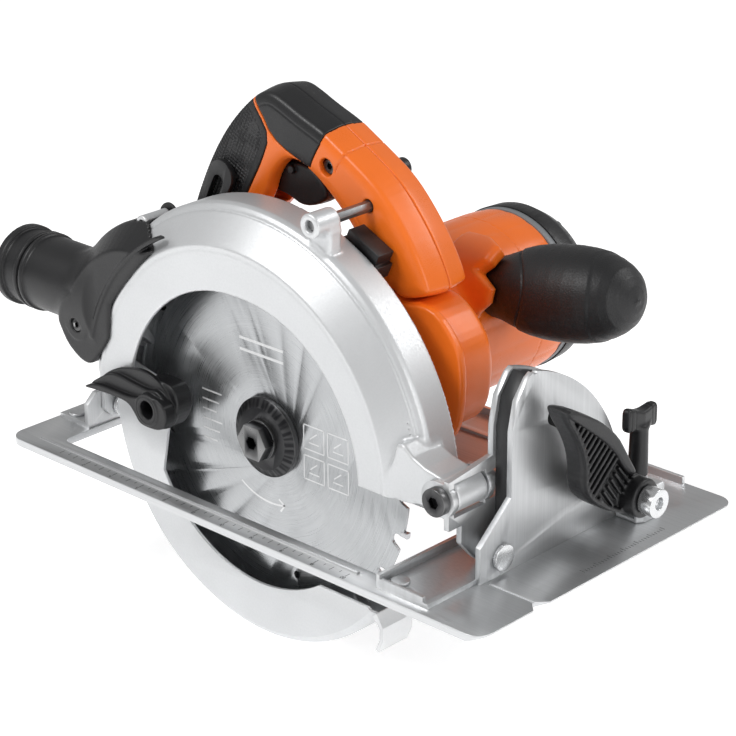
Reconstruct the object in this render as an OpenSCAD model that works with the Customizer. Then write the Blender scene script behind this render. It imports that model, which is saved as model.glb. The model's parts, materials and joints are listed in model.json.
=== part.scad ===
// Portable circular saw, 190 mm blade, corded sidewinder with a D handle and a tilting sole.
// Frame: +X is the cutting direction, -Y the blade side, +Y the motor side, +Z up.
// Origin: bottom face of the sole, under the spindle axis, in the middle plane of the blade.

/* [Blade and guards] */
// Blade diameter over the carbide tips
blade_d = 190; // [180:1:200]
// Blade body thickness
blade_t = 1.6; // [1.2:0.1:2.2]
// Number of teeth
teeth = 24; // [12:2:60]
// Blade bore diameter
bore_d = 30; // [16:1:30]
// Radius of the window in the outer wall of the upper guard
window_r = 76; // [70:1:80]
// Outer radius of the upper guard
guard_r = 117; // [112:1:122]
// Outer radius of the swinging lower guard
lower_r = 104; // [99:1:104]

/* [Sole] */
// Sole plate length
sole_l = 321; // [280:1:340]
// Sole plate width
sole_w = 188; // [150:1:200]
// Sole plate thickness
sole_t = 4; // [3:0.5:6]
// Height of the spindle above the sole's bottom face
arbor_z = 30; // [28:1:34]

/* [Motor] */
// Outer radius of the motor housing
motor_r = 44; // [38:1:48]
// Motor side end of the saw, measured from the blade
motor_end = 190; // [170:1:200]

/* [Handle] */
// Width of the handle
handle_w = 30; // [26:1:36]

/* [Hidden] */
$fn = 96;
blade_r = blade_d / 2;
sole_x0 = -142;
sole_x1 = sole_x0 + sole_l;
sole_y0 = -50;
sole_y1 = sole_y0 + sole_w;
slot_x0 = -116;
slot_x1 = 112;
slot_y0 = -35;
slot_y1 = 36;
guard_x = -6;            // centre of the upper guard, a little behind the spindle
wall_y = -18;            // outer face of the upper guard
rim_y = -4;              // where the sloping band meets the rim
back_y = 14;             // back face of the upper guard
tilt_y = 3;              // bevel axis, along X
tilt_z = 13;
pivot_x = 129;           // depth pivot, along Y
pivot_z = 44;
motor_x = 10;            // motor shaft axis, along Y
motor_z = 63;
gear_n = 52;              // teeth of module 1
pinion_n = 17;
mesh_a = atan2(motor_z - arbor_z, motor_x);
handle_y = 42;           // middle plane of the D handle
handle_y0 = handle_y - handle_w / 2;
handle_y1 = handle_y + handle_w / 2;
quad_x = 143;            // back face of the fixed bevel quadrant
quad_t = 3;
liner_t = 8;
tilt_x = quad_x - 0.4 - liner_t; // front face of the tilting front plate
strip_r = 209;           // middle radius of the depth guide, about the depth pivot
stud_x = pivot_x - strip_r * cos(2); // stud that runs in the depth guide
stud_z = pivot_z - strip_r * sin(2);
rear_x = -120;           // back bracket

// ---- helpers ---------------------------------------------------------------

// outline in X and Z, spread from y0 to y1
module xz(y0, y1) translate([0, y1, 0]) rotate([90, 0, 0]) linear_extrude(y1 - y0) children();

// outline in Y and Z, spread from x0 to x1
module yz(x0, x1) translate([x0, 0, 0]) rotate([90, 0, 90]) linear_extrude(x1 - x0) children();

module ycyl(x, z, y0, y1, r) translate([x, y1, z]) rotate([90, 0, 0]) cylinder(h = y1 - y0, r = r);

module xcyl(y, z, x0, x1, r) translate([x0, y, z]) rotate([0, 90, 0]) cylinder(h = x1 - x0, r = r);

module zcyl(x, y, z0, z1, r) translate([x, y, z0]) cylinder(h = z1 - z0, r = r);

module block(a, b) translate(a) cube(b - a);

// profile [radius, y] turned about a Y axis at x, z
module yturn(x, z) translate([x, 0, z]) rotate([-90, 0, 0]) rotate_extrude() children();

module at2(x, y) translate([x, y]) children();

// bar with round ends between two points of a plane
module bar2(a, b, r) {
    d = b - a;
    translate(a) circle(r);
    translate(b) circle(r);
    translate(a) rotate(atan2(d[1], d[0])) translate([0, -r]) square([norm(d), 2 * r]);
}

module round_rect(x0, y0, x1, y1, r) {
    translate([x0 + r, y0]) square([x1 - x0 - 2 * r, y1 - y0]);
    translate([x0, y0 + r]) square([x1 - x0, y1 - y0 - 2 * r]);
    for (x = [x0 + r, x1 - r], y = [y0 + r, y1 - r]) translate([x, y]) circle(r);
}

// pie slice from angle a0 to a1, counter-clockwise
module slice2(r, a0, a1, n = 24)
    polygon(concat([[0, 0]], [for (i = [0:n]) let(a = a0 + (a1 - a0) * i / n) r * [cos(a), sin(a)]]));

module arc_slot2(r, w, a0, a1) {
    intersection() {
        difference() {
            circle(r + w / 2);
            circle(r - w / 2);
        }
        slice2(r * 1.4, a0, a1);
    }
    for (a = [a0, a1]) rotate(a) translate([r, 0]) circle(w / 2);
}

module hex2(af) circle(d = af / cos(30), $fn = 6);

module gear2(n, backlash, shift) {
    circle(n / 2 - 1.2);
    for (i = [0:n - 1]) rotate(shift + i * 360 / n) polygon([[n / 2 - 1.4, -1.25 + backlash],
        [n / 2, -0.785 + backlash], [n / 2 + 0.85, -0.38 + backlash / 2],
        [n / 2 + 0.85, 0.38 - backlash / 2], [n / 2, 0.785 - backlash], [n / 2 - 1.4, 1.25 - backlash]]);
}

// ---- sole and bevel parts --------------------------------------------------

rivet_xy = [[121, -37.6], [120, 44], [120, 76], [-132, -12], [-132, 12]];

module sole_plate() color("#c3c6c9") difference() {
    union() {
        difference() {
            linear_extrude(sole_t) difference() {
                round_rect(sole_x0, sole_y0, sole_x1, sole_y1, 9);
                round_rect(slot_x0, slot_y0, slot_x1, slot_y1, 4);
            }
            // lip of the front edge, cut upwards from below
            translate([sole_x1 - 9, sole_y0 - 1, 0]) rotate([0, -20, 0]) translate([0, 0, -10])
                cube([30, sole_w + 2, 10]);
        }
        // raised edge of the ruler strip beside the slot
        block([slot_x0 - 10, slot_y0 - 7, sole_t - 0.5], [slot_x1 - 14, slot_y0 - 5, sole_t + 1.2]);
        // stiffening lip along the motor side
        block([sole_x0 + 12, sole_y1 - 3, sole_t - 0.5], [sole_x1 - 30, sole_y1 - 0.8, sole_t + 4]);
        // stiffening ribs on the wide side
        for (y = [56, 112]) block([-118, y, sole_t - 0.5], [96, y + 4, sole_t + 1.6]);
    }
    // notch for sighting the cut line, and its groove
    translate([sole_x1, -8, -1]) cylinder(h = 20, r = 6, $fn = 4);
    block([148, -8.6, sole_t - 0.6], [sole_x1, -7.4, sole_t + 4]);
    block([sole_x0 - 1, -8.6, sole_t - 0.6], [-134, -7.4, sole_t + 4]);
    for (p = rivet_xy) zcyl(p[0], p[1], -1, sole_t + 1, 2.6);
}

quad_r = 87;             // outer radius of the quadrant about the bevel axis
slot_r = 68;             // radius of its clamping slot
clamp_a = 13;            // direction of the clamping bolt at zero bevel
clamp_y = tilt_y + slot_r * cos(clamp_a);
clamp_z = tilt_z + slot_r * sin(clamp_a);

// outline of the quadrant in Y and Z, centred on the bevel axis
module quadrant2(r, left) {
    intersection() {
        translate([tilt_y, tilt_z]) circle(r);
        polygon([[left, tilt_z], [left, 72], [left + 3, 86], [left + 10, 95], [left + 20, 101],
            [120, 101], [120, sole_t], [left, sole_t]]);
    }
}

module front_quadrant() color("#b9bcbf") difference() {
    union() {
        yz(quad_x, quad_x + quad_t) {
            quadrant2(quad_r, 9);
            polygon([[-12, sole_t], [-12, 22], [9, 40], [60, 40], [84, sole_t]]);
        }
        // folded foot riveted to the sole
        block([slot_x1 + 1, slot_y0 - 10, sole_t], [quad_x + 1, 84, sole_t + 2.5]);
        block([slot_x1 + 1, slot_y0 - 10, sole_t], [slot_x1 + 3, 28, sole_t + 7]);
        block([slot_x1 + 1, slot_y0 - 10, sole_t], [quad_x - 2, slot_y0 - 8, sole_t + 5]);
    }
    yz(quad_x - 1, quad_x + quad_t + 1) translate([tilt_y, tilt_z]) {
        arc_slot2(slot_r, 9, clamp_a - 1, clamp_a + 46);
        circle(4.05);
        rotate(76) translate([quad_r, 0]) circle(1.6);
    }
    for (p = rivet_xy) zcyl(p[0], p[1], sole_t - 1, sole_t + 3, 2.6);
}

module rear_bracket() color("#b9bcbf") difference() {
    union() {
        yz(rear_x, rear_x + 3)
            polygon([[-17, sole_t], [-17, 17], [-11, 22.5], [8, 22.5], [17, 17], [17, sole_t]]);
        block([-140, -17, sole_t], [rear_x + 1, 17, sole_t + 2.5]);
    }
    xcyl(tilt_y, tilt_z, rear_x - 1, rear_x + 4, 4.05);
    for (p = rivet_xy) zcyl(p[0], p[1], sole_t - 1, sole_t + 3, 2.6);
}

module sole_rivets() color("#a9acaf") for (p = rivet_xy) {
    zcyl(p[0], p[1], 0.4, sole_t + 2.5, 2.6);
    zcyl(p[0], p[1], sole_t + 2.5, sole_t + 4, 4.4);
}

module hinge_pins() color("#cfd2d4") {
    // front pin
    xcyl(tilt_y, tilt_z, quad_x - liner_t - 5, quad_x + quad_t, 4);
    xcyl(tilt_y, tilt_z, quad_x + quad_t, quad_x + quad_t + 2, 6.5);
    // rear pin
    xcyl(tilt_y, tilt_z, rear_x - 1, rear_x + 7.5, 4);
    xcyl(tilt_y, tilt_z, rear_x - 3, rear_x, 6.3);
    xcyl(tilt_y, tilt_z, rear_x + 6.8, rear_x + 9.4, 6.3);
}

clampb_x = 151.6;         // wing screw of the guide clamp
clampb_y = 95;
bar_x = quad_x + quad_t + 6.6; // middle of the parallel guide's bar
bar_w = 10;
bar_t = 5;

module guide_clamp() color("#c9cccf") difference() {
    union() {
        block([quad_x + quad_t + 0.4, clampb_y - 10, sole_t], [bar_x + 9, clampb_y + 12, sole_t + 15]);
        zcyl(clampb_x, clampb_y, sole_t + 14, sole_t + 19.5, 5.1);
    }
    // channel for the bar of a parallel guide
    block([bar_x - bar_w / 2, clampb_y - 20, sole_t + 2],
        [bar_x + bar_w / 2, clampb_y + 20, sole_t + 2 + bar_t]);
    zcyl(clampb_x, clampb_y, sole_t + 5, sole_t + 30, 3.05);
}

module guide_wing_screw() color("#232426") difference() {
    union() {
        zcyl(clampb_x, clampb_y, sole_t + 7.2, sole_t + 22, 3);
        zcyl(clampb_x, clampb_y, sole_t + 20.5, sole_t + 44, 5);
        block([clampb_x - 3.5, clampb_y - 11.5, sole_t + 42],
            [clampb_x + 3.5, clampb_y + 11.5, sole_t + 54]);
    }
    zcyl(clampb_x, clampb_y, sole_t + 52.5, sole_t + 55, 3);
}

module front_tilt_plate() color("#d0d3d5") difference() {
    union() {
        yz(tilt_x - 3, tilt_x) intersection() {
            quadrant2(quad_r - 1, 9);
            polygon([[9, 22], [9, 110], [70, 110], [78, 60], [74, 22]]);
        }
        yz(tilt_x - 3, tilt_x) polygon([[-20.6, 30], [-20.6, 54], [10, 58], [30, 58], [30, 7], [2, 7],
            [-2, 10], [-5, 13], [-12, 21], [-12, 30]]);
        // fork that carries the depth pivot
        for (y = [-20.6, 4]) xz(y, y + 3.6) {
            bar2([pivot_x, pivot_z], [tilt_x - 8, pivot_z], 8.5);
            at2(pivot_x, pivot_z - 8.5) square([tilt_x - 1 - pivot_x, 17]);
        }
    }
    yz(tilt_x - 4, tilt_x + 1) translate([tilt_y, tilt_z]) {
        circle(4.3);
        rotate(clamp_a) translate([slot_r, 0]) circle(4.05);
    }
    ycyl(pivot_x, pivot_z, -30, 16, 4.05);
    // window for the eye of the guard's arm, and the room for the pivot nut
    block([tilt_x - 4, -17.1, pivot_z - 8.5], [tilt_x + 1, 4.1, pivot_z + 8.5]);
    block([tilt_x - 4, 7.5, pivot_z - 7], [tilt_x + 1, 15, pivot_z + 7]);
}

module bevel_liner() color("#1f2022") difference() {
    yz(tilt_x, tilt_x + liner_t) quadrant2(quad_r - 2, 11);
    yz(tilt_x - 1, tilt_x + liner_t + 1) {
        translate([tilt_y, tilt_z]) {
            circle(14);
            rotate(clamp_a) translate([slot_r, 0]) circle(4.3);
        }
        polygon([[-30, -5], [-30, 18], [100, 18], [100, -5]]);
    }
}

module bevel_bolt() color("#d5d7d9") {
    xcyl(clamp_y, clamp_z, tilt_x - 11, 181, 4);
    difference() {
        xcyl(clamp_y, clamp_z, 176.4, 184, 7);
        xcyl(clamp_y, clamp_z, 180.5, 185, 3);
    }
}

lever_a = 128;           // direction of the bevel lever, seen from the front

// blade of the bevel lever in Y and Z, and the spine along its outer edge
lever_yz = [[20, 83], [24, 85], [40, 76], [47, 70.5], [56, 62], [60, 56], [63.5, 49], [69, 41],
    [76, 34], [79, 28], [76, 21], [69, 19], [62, 20.5], [50, 27], [37, 37], [33.5, 45], [34.5, 52], [31.5, 65]];
spine_yz = [[20, 83], [24, 85], [40, 76], [47, 70.5], [56, 62], [60, 56], [63.5, 49], [69, 41],
    [64, 40], [58, 47.5], [53.5, 55], [45, 63.5], [33, 73]];

module bevel_lever() color("#1b1c1e") difference() {
    union() {
        xcyl(clamp_y, clamp_z, 148, 176, 9.5);
        yz(157.4, 167) polygon(lever_yz);
        yz(166, 171.4) polygon(spine_yz);
        // grip ribs
        for (i = [0:6]) yz(166, 169.6) translate([clamp_y, clamp_z]) rotate(lever_a)
            translate([17 + i * 3.8, -7 + i * 0.2]) square([1.8, 10 - i * 0.4]);
    }
    xcyl(clamp_y, clamp_z, 140, 190, 4.05);
}

module arc_plate2(r0, r1, a0, a1) intersection() {
    difference() {
        circle(r1);
        circle(r0);
    }
    rotate(180) mirror([0, 1]) slice2(r1 * 1.2, a0, a1);
}

module rear_tilt_arm() color("#b4b7ba") difference() {
    union() {
        yz(rear_x + 3.4, rear_x + 6.4) polygon([[-8, 13], [-8, 24], [4, 32], [22, 32],
            [22, 4.8], [3, 4.8], [-4, 8.5]]);
        block([rear_x + 3.4, 19, 8], [-84, 22, 32]);
    }
    xcyl(tilt_y, tilt_z, rear_x - 1, rear_x + 9, 4.3);
    for (x = [-108, -96]) ycyl(x, 20, 10, 30, 2.1);
}

module depth_guide() color("#26272a") difference() {
    union() {
        xz(22, 25) translate([pivot_x, pivot_z]) {
            arc_plate2(strip_r - 8, strip_r + 8, -10, 29);
            rotate(-209) translate([strip_r, 0]) circle(8);
        }
        block([-114, 22, 8], [-76, 25, 32]);
    }
    xz(21, 26) translate([pivot_x, pivot_z]) {
        arc_plate2(strip_r - 3.4, strip_r + 3.4, -3, 28);
        for (a = [3, -28]) rotate(180 + a) translate([strip_r, 0]) circle(3.4);
    }
    for (x = [-108, -96]) ycyl(x, 20, 10, 30, 2.1);
}

module guide_rivets() color("#a9acaf") for (x = [-108, -96]) {
    ycyl(x, 20, 19, 25, 2.1);
    ycyl(x, 20, 17.6, 19, 3.6);
    ycyl(x, 20, 25, 26.4, 3.6);
}

module depth_pivot_bolt() color("#5b5d60") difference() {
    union() {
        ycyl(pivot_x, pivot_z, -20.6, 14, 4);
        ycyl(pivot_x, pivot_z, -25, -20.6, 6.8);
    }
    xz(-26, -22.4) at2(pivot_x, pivot_z) hex2(5);
}

module lock_nuts() color("#8d9093") {
    difference() {
        xz(7.6, 13.1) at2(pivot_x, pivot_z) rotate(30) hex2(10.8);
        ycyl(pivot_x, pivot_z, 7, 14.5, 4);
    }
    difference() {
        translate([tilt_x - 9, clamp_y, clamp_z]) rotate([0, 90, 0]) linear_extrude(6) hex2(13);
        xcyl(clamp_y, clamp_z, tilt_x - 10, tilt_x - 2, 4);
    }
}

// ---- fixed parts of the saw ------------------------------------------------

// profile of the upper guard, [radius, y]
module guard_profile2() polygon([[0, back_y - 2], [guard_r - 3, back_y - 2], [guard_r - 3, rim_y + 0.6],
    [98.2, wall_y + 2.2], [window_r, wall_y + 2.2], [window_r, wall_y], [98.8, wall_y],
    [guard_r - 0.8, rim_y - 0.4], [guard_r, rim_y + 1.4], [guard_r, back_y], [0, back_y]]);

guard_low = 33;          // lower edge of the upper guard

module upper_guard() color("#d3d6d8") {
    guard_casting();
    // buffer that stops the swinging guard when it is fully open
    ycyl(66, 94, 3, back_y - 1, 4);
}

module guard_casting() difference() {
    union() {
        difference() {
            yturn(guard_x, arbor_z) guard_profile2();
            block([-200, -60, -200], [200, 60, guard_low]);
        }
        // front arm with the depth pivot eye
        xz(-16.6, 3.6) difference() {
            union() {
                polygon([[88, guard_low], [106, guard_low], [112, guard_low + 2], [pivot_x, pivot_z - 8],
                    [pivot_x, pivot_z + 8], [112, 55], [100, 64], [96, 50]]);
                at2(pivot_x, pivot_z) circle(8);
            }
        }
        // clip boss for the hex key
        ycyl(key_x, key_z, -12, 3, 6);
        xz(-3, 3) polygon([[key_x - 6, key_z], [key_x + 6, key_z], [key_x + 5, key_z - 18],
            [key_x - 9, key_z - 10]]);
        // lugs for the screws of the dust port
        for (p = port_screw) ycyl(p[0], p[1], -3.6, back_y - 1, 4.2);
    }
    // room for the return spring and its clip
    ycyl(0, arbor_z, 5, 30, 28.4);
    ycyl(pivot_x, pivot_z, -30, 12, 4.05);
    // inside of the shell stays clear at the arm
    ycyl(0, arbor_z, rim_y - 4, back_y - 2.2, lower_r + 0.7);
    // outlet to the dust port, through the rear of the rim
    translate([guard_x, 0, arbor_z]) rotate([0, -152, 0]) block([100, -3, -17], [130, 11, 17]);
    // holes of the port screws
    for (p = port_screw) ycyl(p[0], p[1], -10, 20, 1.8);
    ycyl(key_x, key_z, -13, 24, 2.95);
    // hole of the depth stud
    ycyl(stud_x, stud_z, back_y - 3, back_y + 1, 3);
}

key_x = 41;
key_z = 150;
port_screw = [[-119, 62], [-84, 120]];
port_axis_z = 75;
port_end = -181;
port_r = 19.6;           // outer radius of the hose spigot
port_bore = 17.5;

module port_outline2() difference() {
    polygon([[-45, 124], [-50, 126.5], [-88, 124.5], [-114, 106], [-126, 94], [-132, 68], [-132, 51],
        [-114, 40], [-107, 42], [-50, 119]]);
    translate([guard_x, arbor_z]) circle(104);
}

module port_duct() translate([guard_x, 0, arbor_z]) rotate([0, -152, 0]) block([100, -3, -16],
    [122, 11, 16]);

module dust_port() color("#202123") difference() {
    union() {
        // body that hugs the sloping band and the rim of the guard
        xz(-19.6, back_y - 0.2) port_outline2();
        xcyl(-1, port_axis_z, port_end, -118, port_r);
        for (x = [[0, 5], [14, 16.5], [18, 21]])
            xcyl(-1, port_axis_z, port_end + x[0], port_end + x[1], port_r + 1.5);
        // ear of the rear screw
        ycyl(port_screw[1][0], port_screw[1][1], back_y - 0.8, back_y + 2, 6.5);
    }
    xcyl(-1, port_axis_z, port_end - 1, port_end + 54, port_bore);
    xcyl(-1, port_axis_z + 4, -128, -108, 11);
    port_duct();
    // the guard itself
    yturn(guard_x, arbor_z) polygon([[0, back_y + 0.1], [0, wall_y - 0.1], [98.9, wall_y - 0.1],
        [guard_r - 0.7, rim_y - 0.5], [guard_r + 0.1, rim_y + 1.3], [guard_r + 0.1, back_y + 0.1]]);
    for (p = port_screw) ycyl(p[0], p[1], -3.8, back_y - 0.8, 4.4);
    ycyl(port_screw[0][0], port_screw[0][1], -30, 0, 1.8);
    ycyl(port_screw[0][0], port_screw[0][1], -30, -18, 3.6);
    ycyl(port_screw[1][0], port_screw[1][1], 10, 30, 1.8);
}

module port_screw_at(p, y, s) translate([p[0], y, p[1]]) rotate([0, 0, s > 0 ? 0 : 180]) difference() {
    union() {
        ycyl(0, 0, -14, 0, 1.8);
        ycyl(0, 0, 0, 1.8, 3.3);
    }
    xz(0.6, 2) hex2(2.6);
}

module dust_port_screws() {
    port_screw_at(port_screw[0], -18, -1);
    port_screw_at(port_screw[1], back_y + 2, 1);
}

module gear_outline2(g) {
    translate([0, arbor_z]) circle(28.6 - g);
    translate([motor_x, motor_z]) circle(38 - g);
    polygon([[-28.4 + g, arbor_z], [28.4 - g, arbor_z], [motor_x + 37 - g, motor_z],
        [motor_x - 37 + g, motor_z]]);
}

module gear_housing() color("#a7aaad") difference() {
    union() {
        xz(back_y, 40) intersection() {
            gear_outline2(0);
            translate([-60, 4.6]) square([140, 120]);
        }
        xz(back_y, 34) gear_outline2(0);
        // nose that carries the lower guard
        ycyl(0, arbor_z, 5.4, back_y + 1, 20);
    }
    // gear chamber
    xz(17, 31.5) gear_outline2(1.3);
    // spindle bearing seats and shaft passages
    ycyl(0, arbor_z, 4, 17.5, 8.4);
    ycyl(0, arbor_z, 6.4, 17.5, 14);
    ycyl(0, arbor_z, 31, 36.5, 9.5);
    ycyl(motor_x, motor_z, 31, 41, 13);
    // channel of the spindle lock
    xz(15, 17.1) lock_strip2(0.3, 8);
    // groove of the circlip that holds the lower guard
    yturn(0, arbor_z) translate([19, 11.9]) square([2, 1.3]);
}

// orange casing behind the guard: its edge fin, and the neck that carries the handle
fin_xy = [[30, 30], [62, 34], [90, 44], [97.5, 52], [100.5, 70], [100, 85], [97.2, 95.7], [81.7, 111],
    [60, 106],
    [-12, 104], [-34, 60]];
neck_xy = [[30, 36], [60, 38], [84, 46], [93, 55], [96, 70], [95.5, 84], [92, 94], [78, 108],
    [60, 106], [40, 100],
    [0, 80]];
handle_clear = 0.2;

// moulded collar round the foot of the front knob, on the blade side
module knob_collar() rotate([0, 90, 0]) intersection() {
    rotate_extrude() polygon([[0, -16], [25, -14], [26, 6], [24, 18], [20, 20.5], [19.2, 17], [16.4, 6.5],
        [16, 0], [0, 0]]);
    translate([0, 0, -20]) linear_extrude(60) slice2(40, 185, 305);
}

module motor_housing() color("#e9731f") difference() {
    union() {
        difference() {
            union() {
                ycyl(motor_x, motor_z, 26, 164, motor_r);
                xz(26, 31) polygon(fin_xy);
                xz(30, handle_y1 - 1) polygon(neck_xy);
                // seat under the front knob
                knob_place() {
                    xcyl(0, 0, -16, 0, 16);
                    knob_collar();
                }
                // seat under the D handle
                xz(handle_y0 + 2, handle_y1 - 2) polygon([[-40, 62], [-60, 88], [-62, 103.2], [-30, 111.6],
                    [52, 111.6], [60, 105], [52, 70]]);
            }
            // inside
            ycyl(motor_x, motor_z, 46, 170, motor_r - 3);
            ycyl(motor_x, motor_z, 40, 47, 32);
            ycyl(motor_x, motor_z, 24, 40.3, 38.2);
            xz(20, 40.2) gear_outline2(-0.2);
            xz(33, handle_y1 - 4) offset(delta = -3) difference() {
                polygon(neck_xy);
                translate([motor_x, motor_z]) circle(motor_r + 3);
            }
        }
        // inner boss for the screw of the front knob
        knob_place() xcyl(0, 0, -7.5, -1, 7);
    }
    // foot of the D handle
    xz(20, handle_y1 + handle_clear) offset(delta = handle_clear) polygon(handle_xz);
    // air inlets behind the fan
    for (i = [0:6]) translate([motor_x, 0, motor_z]) rotate([0, 62 + i * 12, 0])
        block([30, 52, -1.6], [60, 62, 1.6]);
    for (a = housing_screw_a) translate([motor_x, 0, motor_z]) rotate([0, -a, 0])
        translate([housing_screw_r, 0, 0]) ycyl(0, 0, 41, 170, 2);
    knob_place() xcyl(0, 0, -30, 2, 3.05);
}

module trim_ring() color("#8b8e92") difference() {
    ycyl(motor_x, motor_z, 164, 168, motor_r - 0.6);
    ycyl(motor_x, motor_z, 160, 172, motor_r - 3.6);
}

module end_cap() color("#1c1d1f") difference() {
    yturn(motor_x, motor_z) polygon([[0, 168], [motor_r, 168], [motor_r - 0.5, 178],
        [motor_r - 5, motor_end - 4],
        [motor_r - 12, motor_end], [0, motor_end]]);
    // hollow around the seat of the rear bearing
    yturn(motor_x, motor_z) polygon([[14, 160], [motor_r - 3.6, 160], [motor_r - 3.6, 176],
        [motor_r - 10, motor_end - 5], [14, motor_end - 5]]);
    for (a = housing_screw_a) translate([motor_x, 0, motor_z]) rotate([0, -a, 0])
        translate([housing_screw_r, 0, 0]) {
        ycyl(0, 0, 160, motor_end, 2);
        ycyl(0, 0, motor_end - 6, motor_end + 1, 3.5);
    }
    // air slots in the end face
    for (i = [-3:3]) if (i != 0) block([motor_x + i * 8 - 1.8, motor_end - 8, motor_z - 20],
        [motor_x + i * 8 + 1.8, motor_end + 1, motor_z + 20]);
    ycyl(motor_x, motor_z, 160, 176.2, 11);
}

// D handle outline in X and Z at its middle plane, and the hand opening
handle_xz = [[-84, 106], [-84, 118], [-78, 133], [-70, 149], [-60, 165], [-49, 178], [-38, 188],
    [-31, 192.5],
    [-23, 194], [-14, 191], [-5, 187], [12, 181], [20, 176.5], [32, 170], [47, 161], [59, 149], [70, 135],
    [78, 121], [80, 113], [60, 106], [52, 112.1], [-30, 112.1], [-62, 104.1], [-70, 98]];
opening_xz = [[-46, 116], [-41, 112], [30, 112], [38, 118], [32, 132], [16, 147], [2, 157], [-12, 161.5],
    [-22, 152], [-27, 136]];

// crowned body: the full outline in the middle, smaller towards the sides
module crowned(y0, y1) {
    xz(max(y0, handle_y - 11), min(y1, handle_y + 11)) children();
    xz(max(y0, handle_y - 13.5), min(y1, handle_y + 13.5)) offset(delta = -2.5) children();
    xz(y0, y1) offset(delta = -6) children();
}

module handle_block() difference() {
    union() {
        crowned(handle_y0, handle_y1) polygon(handle_xz);
        // raised field round the lock-off button
        xz(handle_y1 - 2, handle_y1 + 3) polygon([[20, 163], [29, 162], [58, 140], [70, 119], [62, 113],
            [39, 129], [22, 148]]);
        xz(handle_y0, handle_y1) intersection() {
            polygon(handle_xz);
            translate([-90, 90]) square([180, 30]);
            offset(delta = -2) polygon(handle_xz);
        }
    }
    xz(handle_y0 - 1, handle_y1 + 1) polygon(opening_xz);
    // hollow
    xz(handle_y0 + 3, handle_y1 - 3) offset(delta = -9.5) difference() {
        polygon(handle_xz);
        polygon(opening_xz);
    }
    // slot of the trigger
    block([-42, handle_y - 7.4, 133], [-6, handle_y + 7.4, 160]);
    // beds of the top cap and of the rear grip
    for (a = [cap_xz, grip_xz]) difference() {
        xz(handle_y0 - 1, handle_y1 + 1) polygon(a);
        handle_core();
    }
    handle_screw_bores();
    ycyl(key_x, key_z, handle_y0 - 1, handle_y1 - 4, 3.2);
    ycyl(button_x, button_z, handle_y0 + 4, handle_y1 + 4, 5.3);
    ycyl(button_x, button_z, handle_y - 3.4, handle_y + 2.9, 7.4);
    ycyl(motor_x, motor_z, handle_y0 - 1, handle_y1 + 1, motor_r + 0.2);
    // pivot of the trigger
    ycyl(trigger_x, trigger_z, handle_y - 9.5, handle_y + 9.5, 2.1);
    cord_inlet();
}

module handle_screw_bores() for (p = handle_screw_xz) {
    ycyl(p[0], p[1], handle_y0 - 1, handle_y1 - 1, 1.7);
    ycyl(p[0], p[1], handle_y0 - 1, handle_y0 + 5, 4.2);
}

// hole where the mains lead enters, at the rear foot of the handle
module cord_inlet() xcyl(handle_y, 116, -95, -64, 4.5);

// what lies under the skins
module handle_core() {
    xz(handle_y - 8, handle_y + 8) offset(delta = -3.4) polygon(handle_xz);
    xz(handle_y0 + 2, handle_y1 - 2) offset(delta = -8) polygon(handle_xz);
}

// areas of the outline covered by the top cap and by the rear grip
cap_xz = [[-40, 192], [-29, 181], [-23, 171], [-10, 164], [2, 158.5], [6, 167], [11, 175], [14, 186],
    [14, 200],
    [-40, 200]];
grip_xz = [[-41, 191], [-31, 181], [-24, 170], [-30, 156], [-37, 144], [-47, 126], [-52, 108], [-56, 90],
    [-100, 90], [-100, 200], [-50, 200]];
handle_screw_xz = [[14, 163], [-60, 112]];
button_x = 30;
button_z = 158;

module handle_shell_blade_side() color("#ee7a24") intersection() {
    handle_block();
    block([-200, handle_y0 - 5, 0], [200, handle_y, 300]);
}

module handle_shell_motor_side() color("#ee7a24") intersection() {
    handle_block();
    block([-200, handle_y, 0], [200, handle_y1 + 5, 300]);
}

module skin(area) difference() {
    intersection() {
        crowned(handle_y0, handle_y1) polygon(handle_xz);
        xz(handle_y0 - 1, handle_y1 + 1) polygon(area);
    }
    handle_core();
    xz(handle_y0 - 1, handle_y1 + 1) polygon(opening_xz);
}

module handle_top_cap() color("#2a2b2d") skin(cap_xz);

module handle_grip() color("#1d1e20") difference() {
    skin(grip_xz);
    xz(handle_y0 - 1, handle_y1 + 1) polygon(cap_xz);
    handle_screw_bores();
    cord_inlet();
}

module handle_screws() for (p = handle_screw_xz) {
    ycyl(p[0], p[1], handle_y0 + 5, handle_y1 - 2, 1.6);
    difference() {
        ycyl(p[0], p[1], handle_y0 + 2.6, handle_y0 + 5, 3.6);
        xz(handle_y0 + 2, handle_y0 + 4) at2(p[0], p[1]) hex2(3);
    }
}

housing_screw_a = [64, 130, 230, 310];

housing_screw_r = motor_r - 8;

// long screws from the end cap to the shoulder behind the gear housing
module housing_screws() for (a = housing_screw_a) translate([motor_x, 0, motor_z])
    rotate([0, -a, 0]) translate([housing_screw_r, 0, 0]) difference() {
        union() {
            ycyl(0, 0, 41, motor_end - 6, 1.9);
            ycyl(0, 0, motor_end - 6, motor_end - 3.6, 3.2);
        }
        xz(motor_end - 5, motor_end - 3) hex2(3);
    }

module casing_screws() color("#4a4c4f") {
    handle_screws();
    housing_screws();
    dust_port_screws();
}

knob_x = 46;             // root of the front knob, on the front of the motor housing
knob_y = 112;
knob_z = 88;
knob_rise = 10;          // the knob points forward and a little up

module knob_place() translate([knob_x, knob_y, knob_z]) rotate([0, -knob_rise, 0]) children();

module front_knob() color("#1e1f21") difference() {
    knob_place() difference() {
        rotate([0, 90, 0]) rotate_extrude() polygon([[0, 0.3], [15, 0.3], [15.6, 6], [18, 16], [21.4, 27],
            [23.2, 38], [23.6, 50], [22.8, 63], [20.2, 75], [15.6, 84], [8.4, 88.8], [0, 90]]);
        xcyl(0, 0, -1, 40, 3.05);
    }
    ycyl(motor_x, motor_z, 80, 140, motor_r + 0.2);
}

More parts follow.
